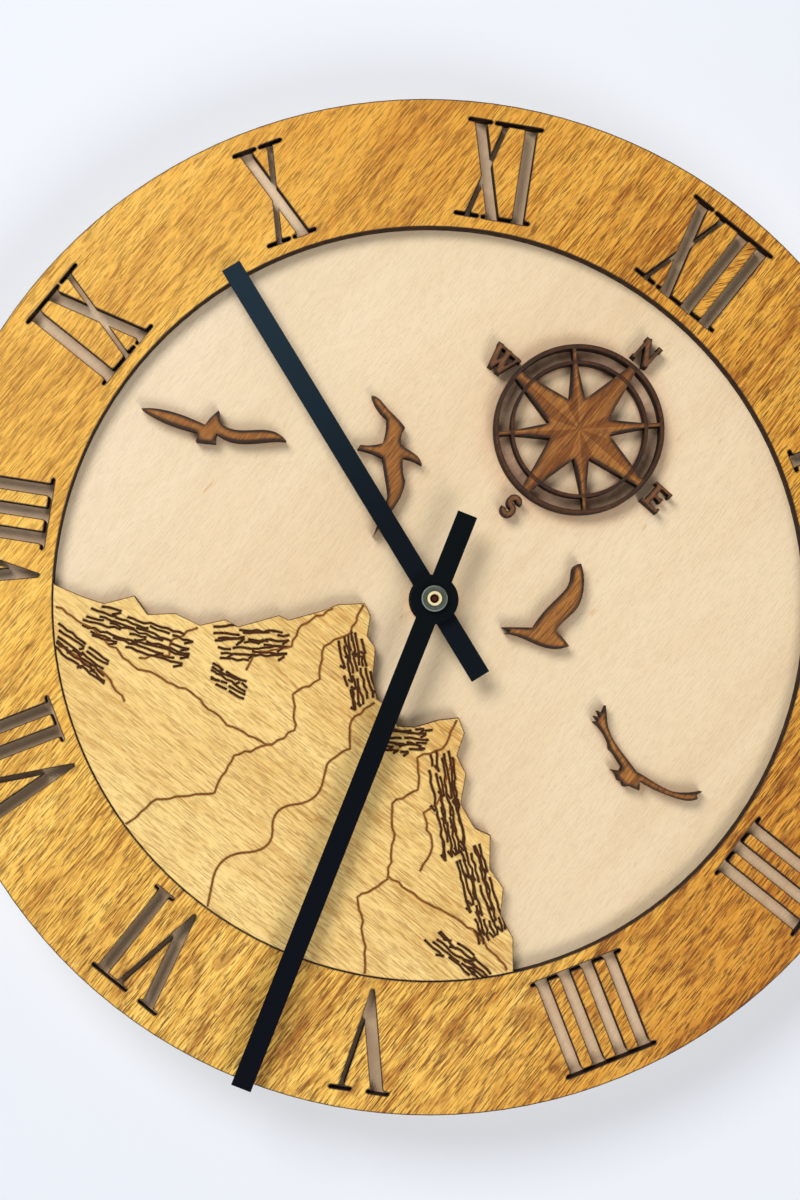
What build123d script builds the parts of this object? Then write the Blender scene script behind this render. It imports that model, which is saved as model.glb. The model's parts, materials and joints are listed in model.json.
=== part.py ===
"""Layered plywood wall clock: a pierced numeral ring and cut-out overlays on a quartz movement.

The origin lies on the arbor axis at the wall plane. +Z is up, towards XII, +X is right and the
dial faces -Y. A depth is a distance in front of the wall, so depth d lies at Y = -d.
"""
from build123d import *
from math import cos, radians, sin
import os

# Plywood layers, in millimetres
dial_r = 125.0  # outer radius of the base disc and the numeral ring
ring_w = 32.1  # from the ring's opening to its outer edge
base_t = 4.0  # base disc
overlay_t = 4.0  # numeral ring, landscape, compass and birds
kerf = 0.15  # gap the laser leaves between pieces cut to fit

# Roman numerals, cut right through the ring with their tops outwards
numerals = ("I", "II", "III", "IIII", "V", "VI", "VII", "VIII", "IX", "X", "XI", "XII")
numeral_rim = 4.4  # plain wood outside the numerals
numeral_foot = 2.9  # plain wood inside them
stem_w = 2.9  # thick strokes
hair_w = 1.15  # thin strokes
bar_w = 0.9  # serif bars
bracket_r = 0.5  # round corner between a stroke and its serif bar
stem_pitch = 5.95  # from one I to the next
serif_overhang = 1.5  # serif bar past the edge of an I
x_lean = 3.4  # sideways run of an X stroke, from its middle to its end
x_serif = 3.1  # serif bar past the end of an X stroke's centre line
x_room = 6.65  # half the room an X takes in its row
x_bridge = 0.5  # wood left across the serif bars in the middle of an X
v_thick_lean = 4.9  # sideways run of the thick stroke of a V
v_thin_lean = 4.3  # sideways run of the thin stroke of a V
v_tip_w = 0.7  # blunt tip of a V
v_serif = 2.85  # half the length of a serif on a V
v_room = 6.25  # half the room a V takes in its row

# Landscape skyline across the dial, in shares of the panel's radius; its two ends lie on that radius
skyline_left = 216.4  # bearing of the left end, anticlockwise from +X
skyline_right = 321.0  # bearing of the right end
skyline = (
    (-0.722, -0.571), (-0.668, -0.550), (-0.620, -0.485), (-0.561, -0.501), (-0.507, -0.453),
    (-0.437, -0.437), (-0.394, -0.383), (-0.356, -0.377), (-0.291, -0.286), (-0.264, -0.280),
    (-0.210, -0.205), (-0.189, -0.167), (-0.135, -0.119), (-0.102, -0.135), (-0.075, -0.183),
    (-0.038, -0.194), (0.005, -0.259), (0.049, -0.296), (0.102, -0.286), (0.135, -0.318),
    (0.173, -0.291), (0.210, -0.237), (0.248, -0.199), (0.286, -0.221), (0.307, -0.280),
    (0.356, -0.302), (0.394, -0.372), (0.464, -0.399), (0.507, -0.388), (0.561, -0.458),
    (0.620, -0.474), (0.658, -0.534), (0.722, -0.561),
)

# Compass rose
compass_drop = 36.9  # rose's centre below the top of the opening
compass_side = 1.75  # rose's centre right of the line to XII, as it was glued on
compass_tilt = 2.8  # turned clockwise, as it was glued on
compass_r = 21.2
compass_band_w = 1.1  # outer band
compass_inner_r = 17.1
compass_inner_w = 0.85  # inner band
star_valley_r = 7.6
star_valley_swing = 14.5  # degrees from a small point to the valley beside it
star_tip_w = 1.8  # large points, where they meet the outer band
star_spoke_w = 0.9  # small points, from the inner band outwards
letter_r = 25.6  # from the rose's centre to a letter's centre
letter_h = 6.2
letter_w = 4.6
letter_stroke = 1.45
letter_hair = 0.8
letter_serif = 0.7
letter_tick = 1.3  # ticks at the ends of the E's arms
letter_sweep = 260.0  # turn of each bowl of the S, in degrees

# Birds, each about its own breast: smooth runs from corner to corner, each starting where the last ends
bird_far_left_inset = 24.0  # breast from the left edge of the opening
bird_far_right_inset = 27.9  # breast from the right edge of the opening
bird_left_at = (-30.6, 20.0)  # breast from the arbor
bird_right_at = (26.0, 14.0)
bird_far_left_runs = (
    ((-16.4, -8.2), (-11.0, -4.6), (-6.1, -2.7), (-1.7, -1.5)),
    ((-1.7, -1.5), (-1.7, 1.1), (-1.3, 3.4)),
    ((-1.3, 3.4), (0.0, 2.0), (1.5, 1.2)),
    ((1.5, 1.2), (6.8, 3.6), (11.2, 7.2), (16.2, 8.0)),
    ((16.2, 8.0), (12.2, 4.6), (6.8, 0.0), (1.8, -1.4)),
    ((1.8, -1.4), (2.2, -2.3), (3.2, -3.4)),
    ((3.2, -3.4), (-0.9, -6.1)),
    ((-0.9, -6.1), (-1.4, -4.9), (-2.3, -4.2)),
    ((-2.3, -4.2), (-6.1, -5.9), (-11.5, -7.6), (-16.4, -8.2)),
)
bird_left_runs = (
    ((-12.8, 10.0), (-11.1, 10.5), (-8.0, 10.0), (-4.6, 9.6), (-1.4, 9.0)),
    ((-1.4, 9.0), (-1.0, 7.2), (0.4, 5.1)),
    ((0.4, 5.1), (2.6, 5.2), (4.8, 5.4), (7.6, 4.4)),
    ((7.6, 4.4), (5.4, 4.0), (2.9, 2.9)),
    ((2.9, 2.9), (4.6, 0.6), (7.0, -1.4)),
    ((7.0, -1.4), (8.6, -5.8), (8.9, -9.0), (9.4, -17.0)),
    ((9.4, -17.0), (7.4, -11.5), (5.9, -6.9)),
    ((5.9, -6.9), (3.1, -4.2), (1.2, -2.5), (-1.0, -0.3)),
    ((-1.0, -0.3), (-3.1, -0.8), (-7.2, -2.5)),
    ((-7.2, -2.5), (-7.3, -1.3)),
    ((-7.3, -1.3), (-5.3, 0.1), (-3.3, 2.5)),
    ((-3.3, 2.5), (-4.5, 5.2), (-6.5, 8.0)),
    ((-6.5, 8.0), (-8.7, 8.2), (-12.8, 10.0)),
)
bird_right_runs = (
    ((-3.1, 16.1), (-4.0, 14.3), (-2.5, 11.5), (-2.2, 6.2), (-2.7, 0.2), (-2.4, -3.6)),
    ((-2.4, -3.6), (-5.1, -5.7), (-8.5, -8.4)),
    ((-8.5, -8.4), (-6.3, -7.8)),
    ((-6.3, -7.8), (-7.0, -9.2)),
    ((-7.0, -9.2), (-2.5, -7.1), (2.9, -5.5), (7.3, -1.7)),
    ((7.3, -1.7), (4.8, -1.1), (2.4, -0.9)),
    ((2.4, -0.9), (2.5, 2.7), (3.0, 6.5), (1.2, 11.7), (-3.1, 16.1)),
)
bird_far_right_runs = (
    ((-15.6, 6.6), (-14.0, 4.9), (-12.1, 3.0), (-5.5, 0.1), (0.4, -1.4)),
    ((0.4, -1.4), (5.1, -0.7), (10.6, 0.5), (14.2, 2.9), (16.2, 5.0)),
    ((16.2, 5.0), (15.6, 3.5)),
    ((15.6, 3.5), (16.4, 2.8)),
    ((16.4, 2.8), (15.0, 1.1), (11.0, -0.8), (6.8, -2.0), (2.2, -2.7)),
    ((2.2, -2.7), (3.2, -3.6), (3.8, -4.6)),
    ((3.8, -4.6), (1.4, -5.2)),
    ((1.4, -5.2), (0.3, -6.2)),
    ((0.3, -6.2), (-0.6, -5.5)),
    ((-0.6, -5.5), (-1.8, -5.9)),
    ((-1.8, -5.9), (-3.0, -5.1), (-4.8, -4.9)),
    ((-4.8, -4.9), (-2.7, -3.7)),
    ((-2.7, -3.7), (-3.0, -2.7)),
    ((-3.0, -2.7), (-6.7, -1.4)),
    ((-6.7, -1.4), (-8.1, -1.3)),
    ((-8.1, -1.3), (-9.2, -0.2)),
    ((-9.2, -0.2), (-12.5, 1.2), (-15.5, 1.5)),
    ((-15.5, 1.5), (-14.6, 2.4)),
    ((-14.6, 2.4), (-16.2, 2.8)),
    ((-16.2, 2.8), (-14.8, 3.5)),
    ((-14.8, 3.5), (-16.4, 4.3)),
    ((-16.4, 4.3), (-15.0, 4.6)),
    ((-15.0, 4.6), (-15.6, 6.6)),
)

# Hands, at the pose they rest in
hand_w = 5.0
hand_t = 0.6
minute_length = 125.7
minute_tail = 22.2
minute_eye_r = 5.8
minute_rest = 162.8  # degrees clockwise from XII
hour_length = 95.6
hour_tail = 22.0
hour_eye_r = 6.1
hour_rest = 289.9
hand_lift = 2.4  # hour hand in front of the overlays
hand_gap = 2.0  # between the two hands
collet_r = 3.9  # collar behind the hour hand
collet_h = 1.2
hand_nut_r = 3.15
hand_nut_t = 1.8
hand_nut_chamfer = 0.3

# Cell and its bay
cell_r = 7.25  # size AA
cell_body = 49.2
cell_nub_r = 2.75
cell_nub = 1.0
cell_edge = 0.6  # rounded rim of the cell
cell_recess = 0.35  # cell behind the plane of the rear cover
bay_gap = 0.3  # beside the cell
floor_gap = 0.15  # in front of the cell
contact_t = 0.4
contact_w = 10.0
leaf_reach = 1.6  # how far the sprung contact stands off its plate
strip_w = 3.0
finger_w = 2.0

# Movement case
case_wall = 1.5
case_corner = 3.0
partition_t = 1.2
cover_t = 1.5
hook_w = 6.0
hook_t = 1.1
hook_length = 5.5
hook_barb = 0.8
hook_height = 7.0  # middle of the hooks above the arbor
hang_hole_r = 3.0
hang_ear_r = 7.0
hang_rise = 6.5  # hole above the top of the case
hang_t = 2.4

# Fixing of the movement through the dial
gasket_r = 14.0
gasket_t = 0.8
bush_r = 4.0
bush_flange_r = 5.5
bush_flange_t = 1.4
bush_past_nut = 0.8
washer_r = 5.7
washer_t = 0.5
bush_nut_flats = 10.0  # across flats
bush_nut_t = 2.4

# Shafts and fits
second_pin_r = 0.6
minute_tube_r = 2.0
minute_thread_r = 1.75
minute_mouth_r = 1.15
minute_mouth_depth = 1.5
pin_setback = 0.6  # second pin behind the minute tube's mouth
hour_tube_r = 2.55
clutch_r = 1.6
clutch_flange_r = 3.0
arbor_r = 0.5
motion_arbor_r = 0.7
knob_shaft_r = 1.2
knob_pivot_r = 0.8
run_clear = 0.05  # radial clearance of what turns
fit_clear = 0.02  # radial clearance of what is pressed on
hole_clear = 0.2  # radial clearance of the bush in the dial
end_play = 0.1

# Gear teeth, with shares counted in tooth pitches and heights in modules
tooth_addendum = 0.8
tooth_dedendum = 1.2
tooth_tip_share = 0.10
tooth_root_share = 0.24
rotor_teeth = 10
fifth_teeth = 50
fifth_pinion_teeth = 10
second_teeth = 60
second_pinion_teeth = 8
third_teeth = 64
third_pinion_teeth = 8
centre_teeth = 60
cannon_teeth = 12
motion_teeth = 36
motion_pinion_teeth = 10
hour_teeth = 40
knob_teeth = 12
second_module = 0.26  # second wheel and fifth pinion
rotor_module = 0.25  # fifth wheel and rotor pinion
third_module = 0.25  # third wheel and second pinion
motion_distance = 10.4  # from the arbor to the motion wheel
fifth_bearing = 135.0  # bearings are anticlockwise from +X, seen from the front
rotor_bearing = 150.0
third_bearing = -5.0
motion_bearing = 80.0
knob_bearing = 40.0

# Layers of the gear train, from the rear cover forwards
gear_t = 0.8
layer_gap = 0.4
pinion_past = 0.2  # pinion past the wheel it drives
boss_r = 1.6
boss_h = 1.0
pivot_depth = 0.8  # blind hole of a pivot in the cover
bridge_t = 1.0
bridge_gap = 0.6  # from the stator to the bridge
front_boss_r = 1.8
front_boss_h = 2.4
knob_r = 6.2
knob_t = 3.0
knob_recess = 0.4
knob_well_gap = 0.4
knob_well_wall = 1.0
knob_grooves = 12
knob_groove_r = 0.7

# Motor and circuit
stator_t = 1.0
stator_arm_w = 2.8
stator_left = -24.4
stator_right = -2.2
stator_low = 7.4
stator_high = 16.4
magnet_r = 2.7
magnet_t = 2.2
magnet_gap = 0.5
coil_z = 21.5
core_h = 2.6
core_t = 1.0
bobbin_flange_r = 3.2
bobbin_flange_t = 0.8
bobbin_tube_r = 2.0
winding_r = 2.8
stator_post_r = 1.4
board_t = 1.0
board_half = 23.5
board_low = 19.3
board_high = 26.0
board_stand = 2.0  # circuit board off the front wall
board_post_x = 17.0
crystal_r = 1.0
crystal_length = 6.0
crystal_x = 7.0
chip_r = 2.5
chip_h = 1.1
chip_x = -12.0
bridge_left = -17.0
bridge_right = 14.5
bridge_low = -8.6
bridge_high = 16.4
bridge_ear_left = 5.5
bridge_ear_high = 20.0
bridge_corner = 1.5
bridge_post_r = 1.5

# Depths and places that follow from the sizes above
opening_r = dial_r - ring_w
panel_r = opening_r - kerf
numeral_outer_r = dial_r - numeral_rim
numeral_inner_r = opening_r + numeral_foot
compass_z = opening_r - compass_drop
bird_far_left_at = (bird_far_left_inset - opening_r, 0)
bird_far_right_at = (opening_r - bird_far_right_inset, 0)
cell_depth = cell_recess + cell_r
case_inner_front = cell_recess + 2 * cell_r + floor_gap
case_depth = case_inner_front + case_wall
bay_length = 2 * contact_t + leaf_reach + cell_body + cell_nub
case_w = bay_length + 2 * case_wall
case_half = case_w / 2
room_half = bay_length / 2
bay_top = -room_half + 2 * (cell_r + bay_gap)
room_low = bay_top + partition_t
cell_z = bay_top - bay_gap - cell_r
base_back = case_depth + gasket_t
base_front = base_back + base_t
overlay_front = base_front + overlay_t
bush_nut_back = base_front + washer_t
bush_front = bush_nut_back + bush_nut_t + bush_past_nut
hour_hand_back = max(overlay_front, bush_front + collet_h) + hand_lift
minute_hand_back = hour_hand_back + hand_t + hand_gap
hand_nut_back = minute_hand_back + hand_t
arbor_tip = hand_nut_back + hand_nut_t
second_back = cover_t + boss_h + end_play
fifth_back = second_back + gear_t + layer_gap
centre_back = fifth_back + gear_t + layer_gap
stator_back = centre_back + gear_t + layer_gap
bridge_back = stator_back + stator_t + bridge_gap
bridge_front = bridge_back + bridge_t
motion_back = bridge_front + layer_gap
hour_back = motion_back + gear_t + layer_gap
magnet_back = stator_back + (stator_t - magnet_t) / 2
bush_back = case_inner_front - bush_flange_t
front_boss_back = case_inner_front - front_boss_h
board_front = case_inner_front - board_stand
board_back = board_front - board_t
board_mid = (board_low + board_high) / 2
core_back = stator_back - core_t
bush_bore_r = hour_tube_r + run_clear
hang_z = case_half + hang_rise
hook_face = room_half - kerf
fifth_distance = second_module * (second_teeth + fifth_pinion_teeth) / 2
rotor_distance = rotor_module * (fifth_teeth + rotor_teeth) / 2
third_distance = third_module * (third_teeth + second_pinion_teeth) / 2
centre_module = 2 * third_distance / (centre_teeth + third_pinion_teeth)
motion_module = 2 * motion_distance / (motion_teeth + cannon_teeth)
hour_module = 2 * motion_distance / (hour_teeth + motion_pinion_teeth)
knob_distance = motion_module * (motion_teeth + knob_teeth) / 2


def front(depth, at=(0, 0), clockwise=0):
    """Plane that faces the viewer at a depth, its own Y upwards unless it is turned clockwise."""
    right = (cos(radians(clockwise)), 0, -sin(radians(clockwise)))
    return Plane((at[0], -depth, at[1]), x_dir=right, z_dir=(0, -1, 0))


def polar(radius, bearing):
    """Point at a radius and a bearing, anticlockwise from the right as the viewer sees it."""
    return Vector(radius * cos(radians(bearing)), radius * sin(radians(bearing)))


def rod(radius, at, start, end, mode=Mode.ADD):
    """Round bar between two depths, or a round hole where it is taken away."""
    with BuildSketch(front(start)) as disc:
        with Locations(at):
            Circle(radius)
    extrude(disc.sketch, amount=end - start, mode=mode)


def block(low, high, start, end, mode=Mode.ADD):
    """Square-edged block between two corners of the front view and two depths."""
    with BuildSketch(front(start)) as face:
        with Locations(((low[0] + high[0]) / 2, (low[1] + high[1]) / 2)):
            Rectangle(high[0] - low[0], high[1] - low[1])
    extrude(face.sketch, amount=end - start, mode=mode)


def gear(teeth, module, at, start, end, turn):
    """Gear with slim straight-flanked teeth, its first tooth at the turn angle."""
    tip_r = teeth * module / 2 + tooth_addendum * module
    root_r = teeth * module / 2 - tooth_dedendum * module
    corners = (
        (root_r, -tooth_root_share),
        (tip_r, -tooth_tip_share),
        (tip_r, tooth_tip_share),
        (root_r, tooth_root_share),
    )
    points = []
    for tooth in range(teeth):
        for radius, share in corners:
            points.append(polar(radius, turn + (tooth + share) * 360 / teeth))
    with BuildSketch(front(start)) as outline:
        with Locations(at):
            Polygon(*points, align=None)
    extrude(outline.sketch, amount=end - start)


def meshed(teeth, turn, bearing, next_teeth):
    """Turn that sets a gap of the next gear on the tooth of this one that points along the bearing."""
    phase = (bearing - turn) * teeth / 360
    return bearing + 180 - (0.5 - phase) * 360 / next_teeth


# Places and turns of the gears
axis = Vector(0, 0)
fifth_at = polar(fifth_distance, fifth_bearing)
rotor_at = fifth_at + polar(rotor_distance, rotor_bearing)
third_at = polar(third_distance, third_bearing)
motion_at = polar(motion_distance, motion_bearing)
knob_at = motion_at + polar(knob_distance, knob_bearing)
fifth_pinion_turn = meshed(second_teeth, 0, fifth_bearing, fifth_pinion_teeth)
rotor_turn = meshed(fifth_teeth, 0, rotor_bearing, rotor_teeth)
third_turn = meshed(second_pinion_teeth, 0, third_bearing, third_teeth)
centre_turn = meshed(third_pinion_teeth, 0, third_bearing + 180, centre_teeth)
motion_turn = meshed(cannon_teeth, 0, motion_bearing, motion_teeth)
hour_turn = meshed(motion_pinion_teeth, 0, motion_bearing + 180, hour_teeth)
knob_turn = meshed(motion_teeth, motion_turn, knob_bearing, knob_teeth)
pivoted = (fifth_at, rotor_at, third_at)
bridge_posts = (
    (bridge_left + bridge_post_r, bridge_low + bridge_post_r),
    (bridge_right - bridge_post_r, bridge_low + bridge_post_r),
    (bridge_left + bridge_post_r, bridge_high - bridge_post_r),
    (bridge_right - bridge_post_r, motion_at.Y - bridge_post_r),
)
stator_posts = (
    (rotor_at.X - magnet_r - magnet_gap - stator_post_r, stator_high - stator_post_r),
    (stator_right - stator_post_r, stator_high - stator_post_r),
)


def stroke(outer_u, inner_u, width):
    """Straight stroke of a numeral, from the outer circle to the inner one."""
    half = width / 2
    Polygon(
        (outer_u - half, numeral_outer_r),
        (outer_u + half, numeral_outer_r),
        (inner_u + half, numeral_inner_r),
        (inner_u - half, numeral_inner_r),
        align=None,
    )


def vee(u):
    """The V of a numeral, its thick stroke to the left and its tip on the inner circle."""
    height = numeral_outer_r - numeral_inner_r
    tip = v_tip_w / 2
    thick_slope = (v_thick_lean + stem_w / 2 - tip) / height
    thin_slope = (v_thin_lean + hair_w / 2 - tip) / height
    thick_edge = stem_w / 2 - v_thick_lean
    thin_edge = v_thin_lean - hair_w / 2
    fall = (thin_edge - thick_edge) / (thick_slope + thin_slope)
    Polygon(
        (u - v_thick_lean - stem_w / 2, numeral_outer_r),
        (u + thick_edge, numeral_outer_r),
        (u + thick_edge + thick_slope * fall, numeral_outer_r - fall),
        (u + thin_edge, numeral_outer_r),
        (u + v_thin_lean + hair_w / 2, numeral_outer_r),
        (u + tip, numeral_inner_r),
        (u - tip, numeral_inner_r),
        align=None,
    )


def bar(left, right, middle_r):
    """Serif bar with round ends."""
    with Locations(((left + right) / 2, middle_r)):
        SlotOverall(right - left, bar_w)


def numeral(letters):
    """Sketch of one Roman numeral, upright at the top of the ring."""
    room = {"I": stem_pitch / 2, "X": x_room, "V": v_room}
    reach = {"I": stem_w / 2 + serif_overhang, "X": x_lean + x_serif, "V": v_thin_lean + v_serif}
    outer_bar = numeral_outer_r - bar_w / 2
    inner_bar = numeral_inner_r + bar_w / 2
    places = []
    start = -sum(room[letter] for letter in letters)
    for letter in letters:
        places.append(start + room[letter])
        start += 2 * room[letter]
    left = places[0] - reach[letters[0]]
    right = places[-1] + reach[letters[-1]]
    with BuildSketch() as cut:
        for letter, u in zip(letters, places):
            if letter == "I":
                stroke(u, u, stem_w)
            elif letter == "X":
                stroke(u - x_lean, u + x_lean, stem_w)
                stroke(u + x_lean, u - x_lean, hair_w)
            else:
                vee(u)
        if letters[0] == "V":
            bar(places[0] - v_thick_lean - v_serif, places[0] - v_thick_lean + v_serif, outer_bar)
            bar(places[0] + v_thin_lean - v_serif, right, outer_bar)
            if len(letters) > 1:
                bar(places[1] - reach["I"], right, inner_bar)
        else:
            stops = [left]
            for letter, u in zip(letters, places):
                if letter == "X":
                    stops += [u - x_bridge / 2, u + x_bridge / 2]
            stops.append(right)
            for start, end in zip(stops[::2], stops[1::2]):
                bar(start, end, outer_bar)
                bar(start, end, inner_bar)
        for level in (outer_bar - bar_w / 2, inner_bar + bar_w / 2):
            round_ends = cut.edges().filter_by(GeomType.CIRCLE).vertices()
            corners = cut.vertices().filter_by_position(Axis.Y, level - kerf, level + kerf) - round_ends
            if corners:
                fillet(corners, bracket_r)
    return cut.sketch


def letter_face(name):
    """Sketch of one compass letter about its own centre."""
    top = letter_h / 2
    side = letter_w / 2 - letter_hair / 2
    foot = top - letter_serif / 2
    with BuildSketch() as face:
        if name == "north":
            with BuildLine() as stems:
                Line((-side, -top), (-side, top))
                Line((side, -top), (side, top))
            trace(stems.line, letter_hair)
            with BuildLine() as diagonal:
                Line((-side, top), (side, -top))
            trace(diagonal.line, letter_stroke)
            with BuildLine() as serifs:
                Line((-side - letter_serif, foot), (-side + letter_serif, foot))
                Line((-side - letter_serif, -foot), (-side + letter_serif, -foot))
                Line((side - letter_serif, foot), (side + letter_serif, foot))
            trace(serifs.line, letter_serif)
        elif name == "east":
            with BuildLine() as stem:
                Line((-side + letter_stroke / 2, -top), (-side + letter_stroke / 2, top))
            trace(stem.line, letter_stroke)
            with BuildLine() as arms:
                Line((-side - letter_serif, foot), (side + letter_serif, foot))
                Line((-side, 0), (side - letter_serif, 0))
                Line((-side - letter_serif, -foot), (side + letter_serif, -foot))
            trace(arms.line, letter_serif)
            with BuildLine() as ticks:
                Line((side + letter_serif / 2, top), (side + letter_serif / 2, top - letter_tick))
                Line((side + letter_serif / 2, -top), (side + letter_serif / 2, letter_tick - top))
                Line((side - letter_serif, -letter_tick / 2), (side - letter_serif, letter_tick / 2))
            trace(ticks.line, letter_serif)
        elif name == "south":
            bowl = (letter_h - letter_stroke) / 4
            with BuildLine() as curve:
                CenterArc((0, bowl), bowl, 270 - letter_sweep, letter_sweep)
                CenterArc((0, -bowl), bowl, 90, -letter_sweep)
            trace(curve.line, letter_stroke)
        else:
            with BuildLine() as thick:
                Line((-letter_w / 2 - letter_serif, top), (-letter_w / 4, -top))
                Line((-letter_serif / 2, top), (letter_w / 4, -top))
            trace(thick.line, letter_stroke)
            with BuildLine() as thin:
                Line((-letter_w / 4, -top), (letter_serif / 2, top))
                Line((letter_w / 4, -top), (letter_w / 2 + letter_serif, top))
            trace(thin.line, letter_hair)
            with BuildLine() as serif:
                Line((-letter_w / 2 - 2 * letter_serif, foot), (letter_w / 2 + 2 * letter_serif, foot))
            trace(serif.line, letter_serif)
    return face.sketch


def cut_out(sketch):
    """Overlay piece of full thickness, standing on the base disc."""
    extrude(sketch, amount=overlay_t)


def bird_face(runs, at):
    """Outline of a bird from its smooth runs, with its breast at a place on the dial."""
    with BuildSketch(front(base_front, at)) as face:
        with BuildLine():
            for run in runs:
                if len(run) == 2:
                    Line(*run)
                else:
                    Spline(*run)
        make_face()
    return face.sketch


# Base disc, with a hole for the movement's bush
with BuildPart() as base_disc:
    rod(dial_r, axis, base_back, base_front)
    rod(bush_r + hole_clear, axis, base_back, base_front, Mode.SUBTRACT)

# Numeral ring; the pieces that fall out between the strokes are glued back one by one
numeral_cuts = [numeral(letters) for letters in numerals]
with BuildSketch(front(base_front)) as ring_sheet:
    Circle(dial_r)
    Circle(opening_r, mode=Mode.SUBTRACT)
    for hour, cut in enumerate(numeral_cuts, start=1):
        add(cut.rotate(Axis.Z, -360 / len(numerals) * hour), mode=Mode.SUBTRACT)
ring_faces = ring_sheet.sketch.faces().sort_by(SortBy.AREA)
with BuildPart() as numeral_ring:
    cut_out(ring_faces[-1])
with BuildPart() as numeral_islands:
    for island in ring_faces[:-1]:
        cut_out(island)

# Landscape panel, flush with the ring along its lower edge
with BuildSketch(front(base_front)) as panel_face:
    ridge = [(panel_r * x, panel_r * z) for x, z in skyline]
    with BuildLine():
        Polyline(polar(panel_r, skyline_left), *ridge, polar(panel_r, skyline_right))
        ThreePointArc(polar(panel_r, skyline_right), (0, -panel_r), polar(panel_r, skyline_left))
    make_face()
with BuildPart() as landscape_panel:
    cut_out(panel_face.sketch)

# Compass rose: two bands, four broad points and four slim ones
compass_plane = front(base_front, (compass_side, compass_z), compass_tilt)
band_mid_r = compass_r - compass_band_w / 2
star = []
for quarter in range(4):
    for offset in (-star_tip_w / 2, star_tip_w / 2):
        star.append(Vector(band_mid_r, offset).rotate(Axis.Z, 90 * quarter))
    diagonal_turn = 90 * quarter + 45
    star.append(polar(star_valley_r, diagonal_turn - star_valley_swing))
    for radius, side in (
        (compass_inner_r, -1),
        (band_mid_r, -1),
        (band_mid_r, 1),
        (compass_inner_r, 1),
    ):
        star.append(Vector(radius, side * star_spoke_w / 2).rotate(Axis.Z, diagonal_turn))
    star.append(polar(star_valley_r, diagonal_turn + star_valley_swing))
with BuildSketch(compass_plane) as rose_face:
    Circle(compass_r)
    Circle(compass_r - compass_band_w, mode=Mode.SUBTRACT)
    Circle(compass_inner_r)
    Circle(compass_inner_r - compass_inner_w, mode=Mode.SUBTRACT)
    Polygon(*star, align=None)
with BuildPart() as compass_rose:
    cut_out(rose_face.sketch)

# Compass letters, glued on round the rose
letter_bearings = {"north": 90, "east": 0, "south": -90, "west": 180}
letter_parts = {}
for name, bearing in letter_bearings.items():
    letter_at = polar(letter_r, bearing)
    placed = compass_plane * Location((letter_at.X, letter_at.Y)) * letter_face(name)
    with BuildPart() as letter:
        cut_out(placed)
    letter_parts["compass_letter_" + name] = letter

# Birds
with BuildPart() as bird_far_left:
    cut_out(bird_face(bird_far_left_runs, bird_far_left_at))
with BuildPart() as bird_left:
    cut_out(bird_face(bird_left_runs, bird_left_at))
with BuildPart() as bird_right:
    cut_out(bird_face(bird_right_runs, bird_right_at))
with BuildPart() as bird_far_right:
    cut_out(bird_face(bird_far_right_runs, bird_far_right_at))


def blade(depth, clockwise, length, tail, eye_r, hole_r):
    """Flat baton of a hand with its round eye, lying at an angle clockwise from XII."""
    with BuildSketch(front(depth, clockwise=clockwise)) as outline:
        with Locations((0, (length - tail) / 2)):
            Rectangle(hand_w, length + tail)
        Circle(eye_r)
        Circle(hole_r, mode=Mode.SUBTRACT)
    extrude(outline.sketch, amount=hand_t)


# Hands and the open nut that holds them
with BuildPart() as hour_hand:
    hour_hole_r = hour_tube_r + fit_clear
    blade(hour_hand_back, hour_rest, hour_length, hour_tail, hour_eye_r, hour_hole_r)
    rod(collet_r, axis, hour_hand_back - collet_h, hour_hand_back)
    rod(hour_hole_r, axis, hour_hand_back - collet_h, hour_hand_back, Mode.SUBTRACT)
with BuildPart() as minute_hand:
    minute_hole_r = minute_thread_r + fit_clear
    blade(minute_hand_back, minute_rest, minute_length, minute_tail, minute_eye_r, minute_hole_r)
with BuildPart() as hand_nut:
    rod(hand_nut_r, axis, hand_nut_back, arbor_tip)
    rim = hand_nut.faces().sort_by(Axis.Y)[0].edges()
    chamfer(rim, hand_nut_chamfer)
    rod(minute_hole_r, axis, hand_nut_back, arbor_tip, Mode.SUBTRACT)

# What holds the movement to the dial
with BuildPart() as gasket:
    rod(gasket_r, axis, case_depth, base_back)
    rod(bush_r + hole_clear, axis, case_depth, base_back, Mode.SUBTRACT)
with BuildPart() as bush_washer:
    rod(washer_r, axis, base_front, bush_nut_back)
    rod(bush_r + hole_clear, axis, base_front, bush_nut_back, Mode.SUBTRACT)
with BuildPart() as bush_nut:
    with BuildSketch(front(bush_nut_back)):
        RegularPolygon(bush_nut_flats / 2, 6, major_radius=False)
        Circle(bush_r + fit_clear, mode=Mode.SUBTRACT)
    extrude(amount=bush_nut_t)
with BuildPart() as threaded_bush:
    rod(bush_flange_r, axis, bush_back, case_inner_front)
    rod(bush_r, axis, bush_back, bush_front)
    rod(bush_bore_r, axis, bush_back, bush_front, Mode.SUBTRACT)

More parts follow.
